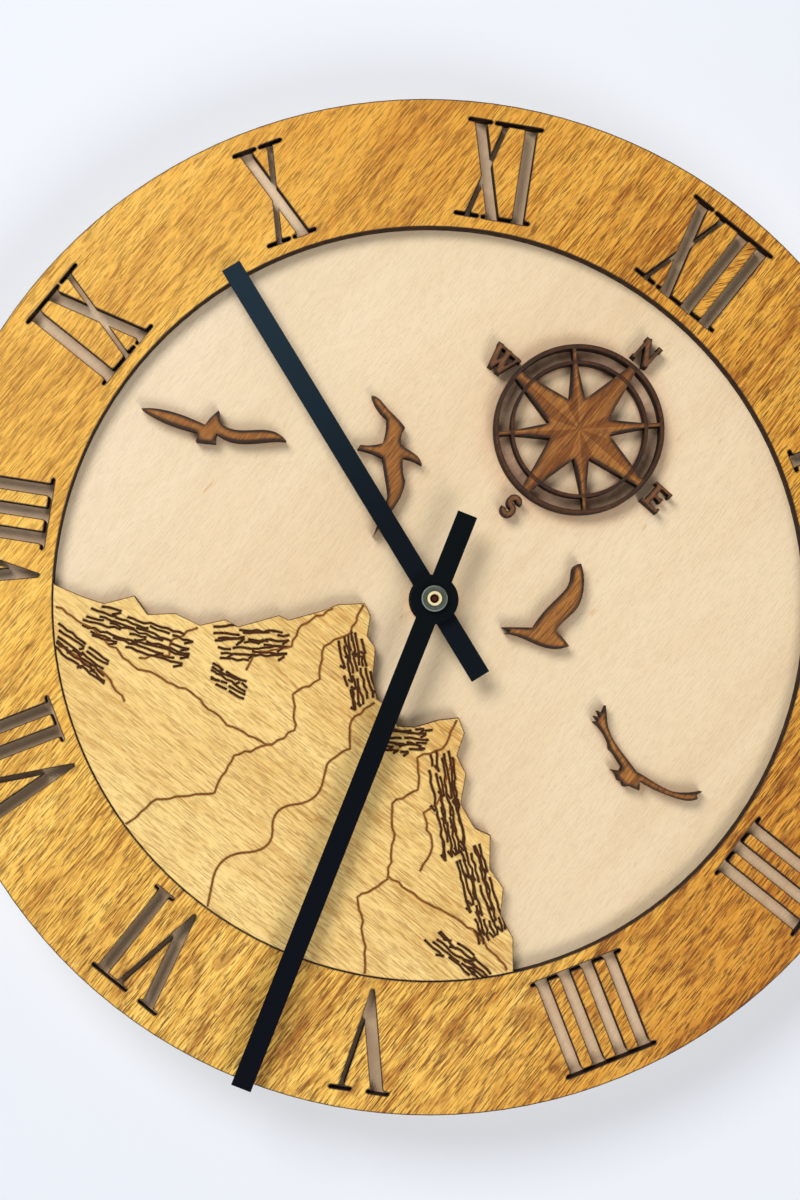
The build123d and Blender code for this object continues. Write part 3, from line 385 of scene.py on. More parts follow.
@dataclass(frozen=True)
class PlywoodFinish:
    """Stained face veneer with pores along its grain, scorched rims and scorched laser-cut walls, under
    painted light and shade.

    The colours go from the palest wood to the darkest streak. The shares say how strongly each layer shows.
    The bands and the shade up the disc are painted light and shade: places across and up the disc, from 0 at
    its left or foot to 1 at its right or top, with the level of light painted there: red by the level, green
    by its square and blue by its fourth power.
    """

    name: str
    pale: Colour
    middle: Colour
    deep: Colour
    pore: Colour
    grain: Grain = Grain.UPRIGHT
    pore_share: float = 0.6
    streak_share: float = 0.6
    figure_share: float = 0.5
    blotch_share: float = 0.0
    foot_share: float = 0.8
    shift: float = 0.0
    rough: float = 0.5
    # Painted light and shade: levels across the disc and up it
    bands: Levels = ((0.0, 1.0), (1.0, 1.0))
    shade_up: Levels = ((0.0, 1.0), (1.0, 1.0))
    burnt: Colour = tone(30, 17, 9)
    burnt_ply: Colour = tone(74, 46, 25)
    ply_pitch: float = 1.33 * MM
    rim: float = 1.2 * MM
    waver: float = 14 * MM
    pore_depth: float = 0.04 * MM

    def layer(self, graph: Graph, place: Socket, pattern: WoodLayer) -> Socket:
        """Noise of one layer, laid along the grain.

        Args:
            graph: Tree to build in.
            place: Coordinates in the part's frame.
            pattern: Layer to lay.

        Returns:
            The noise's socket.
        """
        laid = graph.stretched(place, pattern.scale, self.grain.value, self.shift)
        return graph.noise(laid, pattern.detail, pattern.rough, pattern.twist)

    def face(self, graph: Graph, place: Socket) -> tuple[Socket, Socket]:
        """Colour and relief of the veneer.

        Args:
            graph: Tree to build in.
            place: Coordinates in the part's frame.

        Returns:
            The colour, and a height that is lower in the pores.
        """
        figure, blotch, streak, thread, pore, hair = (
            self.layer(graph, place, pattern) for pattern in (FIGURE, BLOTCH, STREAK, THREAD, PORE, HAIR))
        parts = graph.parts(place)
        # The grain is quieter at the left of the disc, but at its foot no quieter than the board's own share
        by_side = graph.span(parts["X"], -0.8 * DISC_RADIUS, 0.3 * DISC_RADIUS, 0.55, 1.0)
        by_foot = graph.span(parts["Z"], -0.8 * DISC_RADIUS, -0.2 * DISC_RADIUS, self.foot_share, 0.4)
        lively = graph.sum("MAXIMUM", by_side, by_foot)
        # Slow figure and fine fibres move the tone between the deep, the middle and the pale wood
        fibre = graph.sum("ADD", graph.sum("MULTIPLY", streak, 0.28), graph.sum("MULTIPLY", thread, 0.72))
        swing = graph.sum("MULTIPLY", graph.sum("SUBTRACT", fibre, 0.5),
                          graph.span(lively, 0.4, 1.0, 0.4, 1.0))
        slow = graph.sum("MULTIPLY", graph.sum("SUBTRACT", figure, 0.5), self.figure_share * 2)
        blend = graph.sum("ADD", slow, graph.sum("MULTIPLY", swing, self.streak_share * 3))
        clear = graph.ramp(graph.sum("ADD", blend, 0.5),
                           ((0.12, self.deep), (0.5, self.middle), (0.88, self.pale)))
        # Blotches of stain, then dashes of dark pores and hairs
        stained = graph.sum("MULTIPLY", graph.span(blotch, 0.46, 0.72, 0.0, self.blotch_share),
                            graph.sum("POWER", lively, 2.0))
        colour = graph.mixed(stained, clear, self.deep)
        dashes = graph.sum("MAXIMUM", graph.span(pore, 0.55, 0.63), graph.span(hair, 0.55, 0.66, 0.0, 0.7))
        shown = graph.sum("MULTIPLY", graph.sum("MULTIPLY", dashes, self.pore_share),
                          graph.span(lively, 0.4, 1.0, 0.6, 1.0))
        toned = graph.mixed(shown, colour, self.pore)
        # Painted light and shade: the tone is multiplied by levels across and up the disc, whose edges waver
        # with the figure
        waver = graph.sum("MULTIPLY", graph.sum("SUBTRACT", figure, 0.5), self.waver)
        for axis, levels in (("X", self.bands), ("Z", self.shade_up)):
            along = graph.sum("ADD", parts[axis], waver)
            share = graph.sum("ADD", graph.sum("DIVIDE", along, 2 * DISC_RADIUS), 0.5)
            stain = graph.ramp(share, ((where, (level, level ** 2, level ** 4)) for where, level in levels))
            toned = graph.mixed(1.0, toned, stain, "MULTIPLY")
        return toned, graph.sum("SUBTRACT", 1.0, dashes)

    def cut(self, graph: Graph, place: Socket) -> Socket:
        """Colour of the scorched walls, with the plies as faint bands across the thickness.

        Args:
            graph: Tree to build in.
            place: Coordinates in the part's frame.

        Returns:
            The colour's socket.
        """
        depth = graph.sum("DIVIDE", graph.parts(place)["Y"], self.ply_pitch)
        band = graph.span(graph.sum("PINGPONG", depth, 1.0), 0.35, 0.65)
        soot = graph.noise(graph.stretched(place, (500.0, 120.0, 500.0)), 3.0)
        plies = graph.mixed(band, self.burnt, self.burnt_ply)
        return graph.mixed(graph.span(soot, 0.3, 0.7), self.burnt, plies)

    def closed(self, graph: Graph, place: Socket, face: Socket, relief: Socket) -> bpy.types.Material:
        """Burn the rim and the walls, then close the tree.

        Args:
            graph: Tree to build in.
            place: Coordinates in the part's frame.
            face: Colour of the face.
            relief: Height of the face.

        Returns:
            The finished material.
        """
        upright = graph.sum("ABSOLUTE", graph.parts(graph.facing())["Y"])
        wall = graph.span(upright, 0.55, 0.75, 1.0, 0.0)
        browned = graph.mixed(graph.near_edge(self.rim), face, self.burnt)
        rough = graph.span(wall, 0.0, 1.0, self.rough, BURNT_ROUGH)
        return graph.finish(graph.mixed(wall, browned, self.cut(graph, place)), rough, relief=relief,
                            depth=self.pore_depth, gloss=WOOD_GLOSS)

    def material(self) -> bpy.types.Material:
        """Material of the finished wood.

        Returns:
            The material.
        """
        graph = Graph(self.name)
        place = graph.place()
        colour, relief = self.face(graph, place)
        return self.closed(graph, place, colour, relief)


@dataclass(frozen=True)
class MouldedFinish:
    """Plastic with a fine spark texture and a slight change of tone."""

    name: str
    colour: Colour
    second: Colour
    rough: float = 0.45
    texture: float = 2600.0
    texture_depth: float = 0.02 * MM

    def material(self) -> bpy.types.Material:
        """Material of the finished plastic.

        Returns:
            The material.
        """
        graph = Graph(self.name)
        place = graph.place()
        spark = graph.noise(graph.stretched(place, (self.texture,) * 3), 2.0)
        cloud = graph.noise(graph.stretched(place, (60.0,) * 3), 2.0)
        rough = graph.spread(spark, self.rough - 0.08, self.rough + 0.12)
        colour = graph.mixed(cloud, self.colour, self.second)
        return graph.finish(colour, rough, relief=spark, depth=self.texture_depth)


@dataclass(frozen=True)
class MetalFinish:
    """Turned or plated metal, with fine marks along its turning."""

    name: str
    colour: Colour
    second: Colour
    rough: float = 0.3
    marks: tuple[float, float, float] = (900.0, 2500.0, 900.0)

    def material(self) -> bpy.types.Material:
        """Material of the finished metal.

        Returns:
            The material.
        """
        graph = Graph(self.name)
        place = graph.place()
        mark = graph.noise(graph.stretched(place, self.marks), 2.0)
        tarnish = graph.noise(graph.stretched(place, (240.0,) * 3), 3.0)
        rough = graph.spread(mark, self.rough - 0.06, self.rough + 0.1)
        return graph.finish(graph.mixed(tarnish, self.colour, self.second), rough, 1.0)


# Painted light and shade of the numeral ring: darker towards its right and its top, lighter at its foot
RING_SHADE_ACROSS = (
    (0.0, 0.985), (0.3, 1.0), (0.4, 0.985), (0.5, 0.99), (0.65, 1.0), (0.8, 0.97), (0.88, 0.84), (1.0, 0.7),
)
RING_SHADE_UP = (
    (0.0, 1.06), (0.22, 1.05), (0.4, 1.0), (0.62, 1.0), (0.76, 0.9), (0.86, 0.87), (1.0, 0.89),
)
GOLDEN = PlywoodFinish("golden_stained_ply", tone(254, 207, 106), tone(245, 187, 80), tone(164, 98, 32),
                       tone(84, 42, 10), pore_share=0.8, streak_share=0.75, figure_share=0.5,
                       blotch_share=0.75, bands=RING_SHADE_ACROSS, shade_up=RING_SHADE_UP, rim=0.9 * MM)
GOLDEN_SLIPS = replace(GOLDEN, name="golden_stained_slips", shift=0.37)
# The landscape's painted shade: slightly darker above its foot
YELLOW = PlywoodFinish("yellow_stained_ply", tone(255, 226, 154), tone(247, 212, 136), tone(206, 150, 72),
                       tone(146, 86, 26), Grain.LEVEL, pore_share=0.5, streak_share=0.45, figure_share=0.5,
                       blotch_share=0.3, foot_share=0.3,
                       shade_up=((0.0, 1.0), (0.16, 1.0), (0.28, 0.97), (1.0, 0.97)), rim=0.7 * MM)
# The base's painted shade: slightly darker towards its right
BIRCH = PlywoodFinish("pale_birch_ply", tone(247, 228, 202), tone(241, 220, 188), tone(230, 203, 167),
                      tone(212, 178, 138), pore_share=0.1, streak_share=0.08, figure_share=0.5, rough=0.6,
                      bands=((0.0, 1.0), (0.13, 1.0), (0.3, 0.962), (1.0, 0.96)),
                      burnt_ply=tone(150, 104, 62))
WALNUT = PlywoodFinish("walnut_stained_ply", tone(188, 128, 60), tone(162, 103, 46), tone(112, 67, 28),
                       tone(80, 44, 20), pore_share=0.6, streak_share=0.6, figure_share=0.5, blotch_share=0.3,
                       rim=2.8 * MM)
DARK_WALNUT = replace(WALNUT, name="dark_walnut_ply", pale=tone(150, 98, 56), middle=tone(124, 80, 46),
                      deep=tone(84, 52, 30), rim=1.2 * MM)


@dataclass(frozen=True)
class SlipFinish:
    """Golden slips of the numerals, one of which was glued back with its grain askew."""

    wood: PlywoodFinish
    askew: PlywoodFinish
    left: float = 5.5 * MM
    right: float = 11.0 * MM
    foot: float = 94.0 * MM

    def material(self) -> bpy.types.Material:
        """Material of the finished slips.

        Returns:
            The material.
        """
        graph = Graph("golden_stained_islands")
        place = graph.place()
        parts = graph.parts(place)
        between = graph.sum("MULTIPLY", graph.sum("GREATER_THAN", parts["X"], self.left),
                            graph.sum("LESS_THAN", parts["X"], self.right))
        chosen = graph.sum("MULTIPLY", between, graph.sum("GREATER_THAN", parts["Z"], self.foot))
        straight, relief = self.wood.face(graph, place)
        turned, _ = self.askew.face(graph, place)
        return self.wood.closed(graph, place, graph.mixed(chosen, straight, turned), relief)


@dataclass(frozen=True)
class BaseDiscFinish:
    """Pale birch, with smoky tint and painted shade near the pieces that were cut above it, most of all about
    the rose.
    """

    wood: PlywoodFinish
    rose: Point
    rose_inner: float = 16.4 * MM
    rose_outer: float = 20.6 * MM
    halo: float = 27.5 * MM
    reach: float = 3.5 * MM
    opening: float = 92.9 * MM
    # Smoky tints that are also painted shade: near the walls, in the numerals' floors and between the rose's
    # bands
    smoke_and_shade: Colour = tone(222, 172, 132)
    soot: Colour = tone(126, 90, 74)
    trench_smoke_and_shade: Colour = tone(216, 166, 126)
    fleck: Colour = tone(216, 160, 98)

    def material(self) -> bpy.types.Material:
        """Material of the finished base disc.

        Returns:
            The material.
        """
        graph = Graph("pale_birch_base")
        place = graph.place()
        plain, relief = self.wood.face(graph, place)
        resin = graph.noise(graph.stretched(place, (420.0, 150.0, 110.0)), 1.0)
        colour = graph.mixed(graph.span(resin, 0.755, 0.82, 0.0, 0.5), plain, self.fleck)
        # Smoky tint and painted shade near walls and in the numerals' floors, following ambient occlusion
        # where shade falls
        near = graph.node("ShaderNodeAmbientOcclusion", samples=EDGE_SAMPLES)
        near.inputs["Distance"].default_value = self.reach
        front = graph.span(graph.parts(graph.facing())["Y"], -0.9, -0.6, 1.0, 0.0)
        cloud = graph.noise(graph.stretched(place, (260.0,) * 3), 3.0)
        haze = graph.sum("MULTIPLY", front, graph.spread(cloud, 0.4, 0.8))
        covered = graph.span(graph.radius(place), self.opening, self.opening + 1 * MM)
        # Less of the painted shade and smoky tint along the inner edge of the ring
        fainter_by_ring = graph.span(graph.radius(place), self.opening - 8 * MM, self.opening - 4 * MM, 1.0, 0.2)
        close = graph.sum("MULTIPLY", graph.span(near.outputs["AO"], 0.25, 0.95, 1.0, 0.0),
                          graph.sum("MAXIMUM", covered, fainter_by_ring))
        away = graph.radius(place, self.rose)
        about = graph.sum("MINIMUM", graph.span(away, self.rose_outer, self.halo, 0.7, 0.0),
                          graph.span(away, self.rose_inner - 3 * MM, self.rose_inner, 0.2, 0.7))
        smoked_and_shaded = graph.mixed(graph.sum("MULTIPLY", graph.sum("MAXIMUM", close, about), haze), colour,
                             graph.mixed(covered, self.smoke_and_shade, self.trench_smoke_and_shade))
        # Soot and painted shade on the base between the rose's two bands
        between = graph.sum("MULTIPLY", graph.span(away, self.rose_inner - 1 * MM, self.rose_inner),
                            graph.span(away, self.rose_outer, self.rose_outer + 1 * MM, 1.0, 0.0))
        soot_and_shade_between_bands = graph.mixed(graph.sum("MULTIPLY", between, haze), smoked_and_shaded, self.soot)
        return self.wood.closed(graph, place, soot_and_shade_between_bands, relief)


@dataclass(frozen=True)
class CompassFinish:
    """Walnut stain, darker on the bands. Each star point has a lighter and a darker half."""

    wood: PlywoodFinish
    centre: Point
    tilt: float
    star: float
    bands: tuple[tuple[float, float], ...] = ((16.1 * MM, 17.2 * MM), (20.0 * MM, 21.4 * MM))
    shade: Colour = tone(214, 200, 188)
    scorch: Colour = tone(142, 130, 124)

    def material(self) -> bpy.types.Material:
        """Material of the finished rose.

        Returns:
            The material.
        """
        graph = Graph("walnut_stained_rose")
        place = graph.place()
        colour, relief = self.wood.face(graph, place)
        parts = graph.parts(place)
        across = graph.sum("SUBTRACT", parts["X"], self.centre[0])
        up = graph.sum("SUBTRACT", parts["Z"], self.centre[1])
        turn = graph.sum("ADD", graph.sum("ARCTAN2", across, up), 4 * math.pi - math.radians(self.tilt))
        half = graph.span(graph.sum("FRACT", graph.sum("DIVIDE", turn, math.pi / 4)), 0.48, 0.52)
        away = graph.radius(place, self.centre)
        inside = graph.span(away, self.star - 1 * MM, self.star, 1.0, 0.0)
        face = graph.mixed(graph.sum("MULTIPLY", half, inside), colour,
                           graph.mixed(1.0, colour, self.shade, "MULTIPLY"))
        for low, high in self.bands:
            beyond = graph.sum("GREATER_THAN", away, low)
            band = graph.sum("MULTIPLY", beyond, graph.sum("LESS_THAN", away, high))
            face = graph.mixed(band, face, graph.mixed(1.0, face, self.scorch, "MULTIPLY"))
        return self.wood.closed(graph, place, face, relief)


@dataclass(frozen=True)
class PinnedWheelFinish:
    """White moulded wheel on a steel pin, painted dark as shade down the tube."""

    wheel: MouldedFinish
    pin: float = 0.66 * MM
    # Painted shade: the pin's dark tone stands for the shade down the tube
    steel: Colour = tone(66, 38, 28)

    def material(self) -> bpy.types.Material:
        """Material of the finished wheel and pin.

        Returns:
            The material.
        """
        graph = Graph("moulded_wheel_on_pin")
        place = graph.place()
        spark = graph.noise(graph.stretched(place, (self.wheel.texture,) * 3), 2.0)
        steel = graph.sum("LESS_THAN", graph.radius(place), self.pin)
        moulded = graph.mixed(spark, self.wheel.colour, self.wheel.second)
        # Painted shade on the pin
        colour = graph.mixed(steel, moulded, self.steel)
        return graph.finish(colour, graph.spread(spark, 0.28, 0.42), steel)


@dataclass(frozen=True)
class TubeFinish:
    """Turned brass tube, bright at its rim, and dark down its mouth with painted shade."""

    brass: MetalFinish
    mouth: float = 1.12 * MM
    # Tone of the painted shade down the bore
    dark: Colour = tone(46, 20, 12)

    def material(self) -> bpy.types.Material:
        """Material of the finished tube.

        Returns:
            The material.
        """
        graph = Graph("brass_tube_with_painted_shade")
        place = graph.place()
        mark = graph.noise(graph.stretched(place, self.brass.marks), 2.0)
        # Painted shade inside the mouth of the tube
        deep = graph.span(graph.radius(place), self.mouth - 0.05 * MM, self.mouth, 1.0, 0.0)
        metal = graph.mixed(mark, self.brass.colour, self.brass.second)
        return graph.finish(graph.mixed(deep, metal, self.dark), graph.spread(mark, 0.18, 0.34), 1.0)


@dataclass(frozen=True)
class HandPaint:
    """Satin paint of a hand whose tone changes from its hub to its tip, as a painted reflection of bluish
    surroundings.
    """

    name: str
    hub: Colour
    tip: Colour
    near: float = 15.0 * MM
    far: float = 85.0 * MM
    rough: float = 0.42
    gloss: float = 0.05
    texture: float = 2600.0

    def material(self) -> bpy.types.Material:
        """Material of the finished paint.

        Returns:
            The material.
        """
        graph = Graph(self.name)
        place = graph.place()
        spark = graph.noise(graph.stretched(place, (self.texture,) * 3), 2.0)
        # Painted reflection: the tone moves from the hub's to the tip's along the hand
        colour = graph.mixed(graph.span(graph.radius(place), self.near, self.far), self.hub, self.tip)
        rough = graph.spread(spark, self.rough - 0.06, self.rough + 0.1)
        return graph.finish(colour, rough, gloss=self.gloss)


def linked(name: str, data: bpy.types.ID) -> bpy.types.Object:
    """New object in the scene.

    Args:
        name: Name of the object.
        data: Its mesh, curve, lamp or camera.

    Returns:
        The object.
    """
    made = bpy.data.objects.new(name, data)
    bpy.context.scene.collection.objects.link(made)
    return made


def settled(piece: bpy.types.Object) -> bpy.types.Mesh:
    """Mesh that an object's modifiers or its curve's bevel leave."""
    bpy.context.view_layer.update()
    return bpy.data.meshes.new_from_object(piece.evaluated_get(bpy.context.evaluated_depsgraph_get()))


def dress(node: str, material: bpy.types.Material) -> None:
    """Give a CAD node one material.

    Args:
        node: Name of the node.
        material: Material for its one slot.
    """
    mesh = bpy.data.objects[node].data
    mesh.materials.clear()
    mesh.materials.append(material)
    LOG.info("dressed %s with %s", node, material.name)


def add_piece(name: str, shape: bmesh.types.BMesh,
              materials: Sequence[bpy.types.Material]) -> bpy.types.Object:
    """Turn a bmesh into an object at the origin.

    Args:
        name: Name of the piece.
        shape: Mesh to use; it is freed.
        materials: Materials for its slots.

    Returns:
        The new object.
    """
    mesh = bpy.data.meshes.new(name)
    shape.to_mesh(mesh)
    shape.free()
    for material in materials:
        mesh.materials.append(material)
    made = linked(name, mesh)
    LOG.info("made %s with %d faces", name, len(mesh.polygons))
    return made


def middle_of(node: str) -> Point:
    """Middle of a CAD node's box on the dial, in metres."""
    low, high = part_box(node)
    return (low.x + high.x) / 2, (low.z + high.z) / 2


def stand_in(piece: bpy.types.Object, node: str, body: str) -> None:
    """Let a piece stand for a CAD node on its body.

    Args:
        piece: The new piece.
        node: Name of the node.
        body: Body that carries it.
    """
    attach(piece, body)
    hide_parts(node)


def merged_copy(node: str) -> bmesh.types.BMesh:
    """Copy of a CAD node's mesh with its triangles joined into whole faces.

    Args:
        node: Name of the node.

    Returns:
        The copy.
    """
    shape = bmesh.new()
    shape.from_mesh(bpy.data.objects[node].data)
    bmesh.ops.remove_doubles(shape, verts=shape.verts, dist=MERGE)
    bmesh.ops.dissolve_limit(shape, angle_limit=math.radians(0.5), verts=shape.verts, edges=shape.edges)
    return shape


def eased_copy(node: str, ease: float, sharp: float = 40.0) -> bmesh.types.BMesh:
    """Merged copy of a CAD node with its sharp outer edges eased.

    Args:
        node: Name of the node.
        ease: Width of the easing in metres.
        sharp: Least angle of an edge to ease, in degrees.

    Returns:
        The eased copy.
    """
    shape = merged_copy(node)
    edges = [edge for edge in shape.edges
             if edge.is_manifold and edge.calc_face_angle_signed() > math.radians(sharp)]
    bmesh.ops.bevel(shape, geom=edges, offset=ease, offset_type="OFFSET", segments=2, profile=0.5,
                    affect="EDGES", clamp_overlap=True, material=-1)
    return shape


@dataclass
class DialBoards:
    """Base disc, numeral ring and the loose slips between the numerals' strokes."""

    def dress(self) -> None:
        """Stain the three boards."""
        dress("base_disc", BaseDiscFinish(BIRCH, middle_of("compass_rose")).material())
        dress("numeral_ring", GOLDEN.material())
        askew = replace(GOLDEN_SLIPS, grain=Grain.ASKEW)
        dress("numeral_islands", SlipFinish(GOLDEN_SLIPS, askew).material())


@dataclass
class Overlays:
    """Compass rose, its letters and the four birds."""

    tilt: float = 2.8
    star: float = 20.5 * MM

    def dress(self) -> None:
        """Stain the walnut pieces."""
        rose = CompassFinish(WALNUT, middle_of("compass_rose"), self.tilt, self.star)
        dress("compass_rose", rose.material())
        dark = DARK_WALNUT.material()
        for quarter in ("north", "east", "south", "west"):
            dress(f"compass_letter_{quarter}", dark)
        walnut = WALNUT.material()
        for bird in ("far_left", "left", "right", "far_right"):
            dress(f"bird_{bird}", walnut)


@dataclass
class LandscapePanel:
    """Landscape panel with its burnt drawing cut as real grooves. Points are in millimetres on the dial."""

    line: float = 0.26 * MM
    bed_line: float = 0.32 * MM
    line_burn: tuple[Colour, Colour] = (tone(98, 50, 14), tone(172, 104, 38))
    bed_burn: tuple[Colour, Colour] = (tone(38, 18, 7), tone(92, 50, 18))
    chance: random.Random = field(default_factory=lambda: random.Random(7))
    ridges: tuple[tuple[Point, ...], ...] = (
        ((-12.5, -11.5), (-10.6, -19.0), (-13.6, -25.5), (-9.4, -32.5), (-12.2, -39.5), (-6.4, -46.0),
         (-8.4, -52.0), (-14.0, -60.0), (-12.0, -70.0), (-22.0, -80.0), (-24.0, -89.3)),
        ((-17.8, -17.0), (-21.2, -25.0), (-19.8, -30.5), (-26.0, -37.5), (-24.8, -42.0)),
        ((23.0, -19.3), (24.6, -27.0), (21.2, -32.5), (26.2, -38.5), (23.4, -45.0), (29.2, -51.5),
         (34.0, -60.0), (31.0, -68.0), (40.0, -76.0), (44.0, -81.3)),
        ((28.6, -27.0), (32.0, -38.5), (30.8, -42.0), (37.6, -47.0), (39.0, -53.5)),
        ((4.6, -28.6), (3.0, -35.5), (7.0, -41.0), (5.0, -47.5)),
        ((-40.5, -41.4), (-43.5, -47.5), (-41.6, -51.0), (-47.0, -56.0)),
        ((-70.5, -59.0), (-60.0, -57.4), (-47.0, -58.4), (-32.0, -54.6), (-20.0, -55.4), (-8.6, -52.4)),
        ((70.5, -59.0), (58.0, -56.4), (47.0, -58.2), (33.6, -59.4)),
        ((-64.0, -66.0), (-52.0, -64.2), (-43.0, -66.4)),
    )
    creek: tuple[Point, ...] = (
        (5.0, -47.5), (9.0, -56.0), (1.0, -64.0), (8.0, -72.0), (-2.0, -81.0), (4.0, -92.4),
    )
    beds: tuple[tuple[Point, Point, Point, int], ...] = (
        ((-64.0, -53.2), (23.0, 8.9), (0.4, -0.95), 8),
        ((-37.0, -38.8), (13.5, 10.5), (0.6, -0.95), 7),
        ((-9.5, -16.8), (12.5, -9.9), (-0.3, -1.0), 7),
        ((25.5, -24.9), (18.0, -16.4), (-0.4, -0.95), 7),
        ((45.0, -38.4), (18.0, -12.6), (-0.3, -0.95), 8),
        ((-33.0, -45.6), (10.0, 1.5), (0.4, -0.95), 5),
        ((10.5, -31.9), (9.0, 6.2), (0.3, -1.0), 6),
        ((52.0, -61.6), (16.0, -0.4), (-0.6, -1.0), 5),
        ((-68.0, -62.2), (15.0, 0.8), (0.5, -0.95), 6),
    )

    def wander(self, points: Sequence[Point], stray: float = 0.4, pitch: float = 1.5) -> list[Point]:
        """Line broken into short runs that stray a little, as a burn along the grain does.

        Args:
            points: Corners of the line.
            stray: Most that a point leaves the line.
            pitch: Length of the runs.

        Returns:
            The finer line.
        """
        line = [points[0]]
        for start, end in zip(points, points[1:]):
            length = math.dist(start, end)
            count = max(1, round(length / pitch))
            side = ((start[1] - end[1]) / length, (end[0] - start[0]) / length)
            for index in range(1, count + 1):
                share = index / count
                off = self.chance.uniform(-stray, stray) if index < count else 0.0
                line.append((start[0] + (end[0] - start[0]) * share + side[0] * off,
                             start[1] + (end[1] - start[1]) * share + side[1] * off))
        return line

    def rounded(self, points: Sequence[Point], times: int = 3) -> list[Point]:
        """Line with its corners cut again and again until it flows.

        Args:
            points: Corners of the line.
            times: Number of rounds of cutting.

        Returns:
            The flowing line.
        """
        line = list(points)
        for _ in range(times):
            cut = [line[0]]
            for start, end in zip(line, line[1:]):
                for share in (0.25, 0.75):
                    cut.append(tuple((1 - share) * near + share * far for near, far in zip(start, end)))
            line = [*cut, line[-1]]
        return line

    def rock_beds(self, start: Point, along: Point, across: Point, rows: int) -> list[list[Point]]:
        """Rows of broken strokes, some joined to the next row at their ends.

        Args:
            start: Start of the first row.
            along: From the start of a row to its end.
            across: From one row to the next.
            rows: Number of rows.

        Returns:
            The strokes.
        """

        def spot(row: float, share: float) -> Point:
            """Point of a row at a share of its length."""
            return (start[0] + across[0] * row + along[0] * share,
                    start[1] + across[1] * row + along[1] * share)

        strokes = []
        for row in range(rows):
            share = self.chance.uniform(-0.05, 0.15)
            while share < 0.92:
                end = min(1.06, share + self.chance.uniform(0.12, 0.6))
                level = row + self.chance.uniform(-0.45, 0.45)
                slope = self.chance.uniform(-0.5, 0.5)
                strokes.append(self.wander([spot(level, share), spot(level + slope, end)], 0.3))
                if self.chance.random() < 0.4:
                    strokes.append(self.wander([spot(level, end), spot(level + 1.0, end - 0.08)], 0.15))
                share = end + self.chance.uniform(-0.06, 0.1)
        return strokes

    def drawing(self) -> tuple[list[list[Point]], list[list[Point]]]:
        """Lines of the drawing.

        Returns:
            The long lines, and the strokes of the rock beds.
        """
        long_lines = [self.wander(ridge) for ridge in self.ridges]
        long_lines.append(self.rounded(self.creek))
        return long_lines, [stroke for bed in self.beds for stroke in self.rock_beds(*bed)]

    def cutter(self, burn: bpy.types.Material, lines: Sequence[Sequence[Point]], half: float,
               front: float) -> bpy.types.Object:
        """Round rods along the lines, centred on the panel's face.

        Args:
            burn: Material that the cut leaves.
            lines: Lines in millimetres.
            half: Radius of the rods in metres.
            front: Y of the panel's face.

        Returns:
            The cutter as a mesh object.
        """
        name = burn.name
        curve = bpy.data.curves.new(name, "CURVE")
        curve.dimensions = "3D"
        curve.bevel_depth = half
        curve.bevel_resolution = 1
        curve.use_fill_caps = True
        for line in lines:
            spline = curve.splines.new("POLY")
            spline.points.add(len(line) - 1)
            for point, (x, z) in zip(spline.points, line):
                point.co = (x * MM, front, z * MM, 1.0)
        drawn = linked(name, curve)
        mesh = settled(drawn)
        bpy.data.objects.remove(drawn)
        mesh.materials.clear()
        mesh.materials.append(burn)
        return linked(name, mesh)

    def build(self) -> None:
        """Cut the drawing into a copy of the panel and let it stand for the node."""
        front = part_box("landscape_panel")[0].y
        panel = add_piece("engraved_landscape", merged_copy("landscape_panel"), [YELLOW.material()])
        long_lines, beds = self.drawing()
        brown = self.scorch("brown_burnt_line", *self.line_burn)
        black = self.scorch("black_burnt_bed", *self.bed_burn)
        for burn, lines, half in ((brown, long_lines, self.line), (black, beds, self.bed_line)):
            rods = self.cutter(burn, lines, half, front)
            cut = panel.modifiers.new(burn.name, "BOOLEAN")
            cut.operation = "DIFFERENCE"
            cut.solver = "EXACT"
            cut.use_self = True
            cut.material_mode = "TRANSFER"
            cut.object = rods
            mesh = settled(panel)
            panel.modifiers.clear()
            panel.data = mesh
            bpy.data.objects.remove(rods)
        LOG.info("engraved the landscape: %d faces", len(panel.data.polygons))
        stand_in(panel, "landscape_panel", ROOT_BODY)

    def scorch(self, name: str, dark: Colour, light: Colour) -> bpy.types.Material:
        """Burnt wood of the grooves, between two tones.

        Args:
            name: Name of the material.
            dark: Darker tone.
            light: Lighter tone.

        Returns:
            The material.
        """
        graph = Graph(name)
        soot = graph.noise(graph.stretched(graph.place(), (700.0,) * 3), 3.0)
        return graph.finish(graph.mixed(soot, dark, light), BURNT_ROUGH, gloss=WOOD_GLOSS)


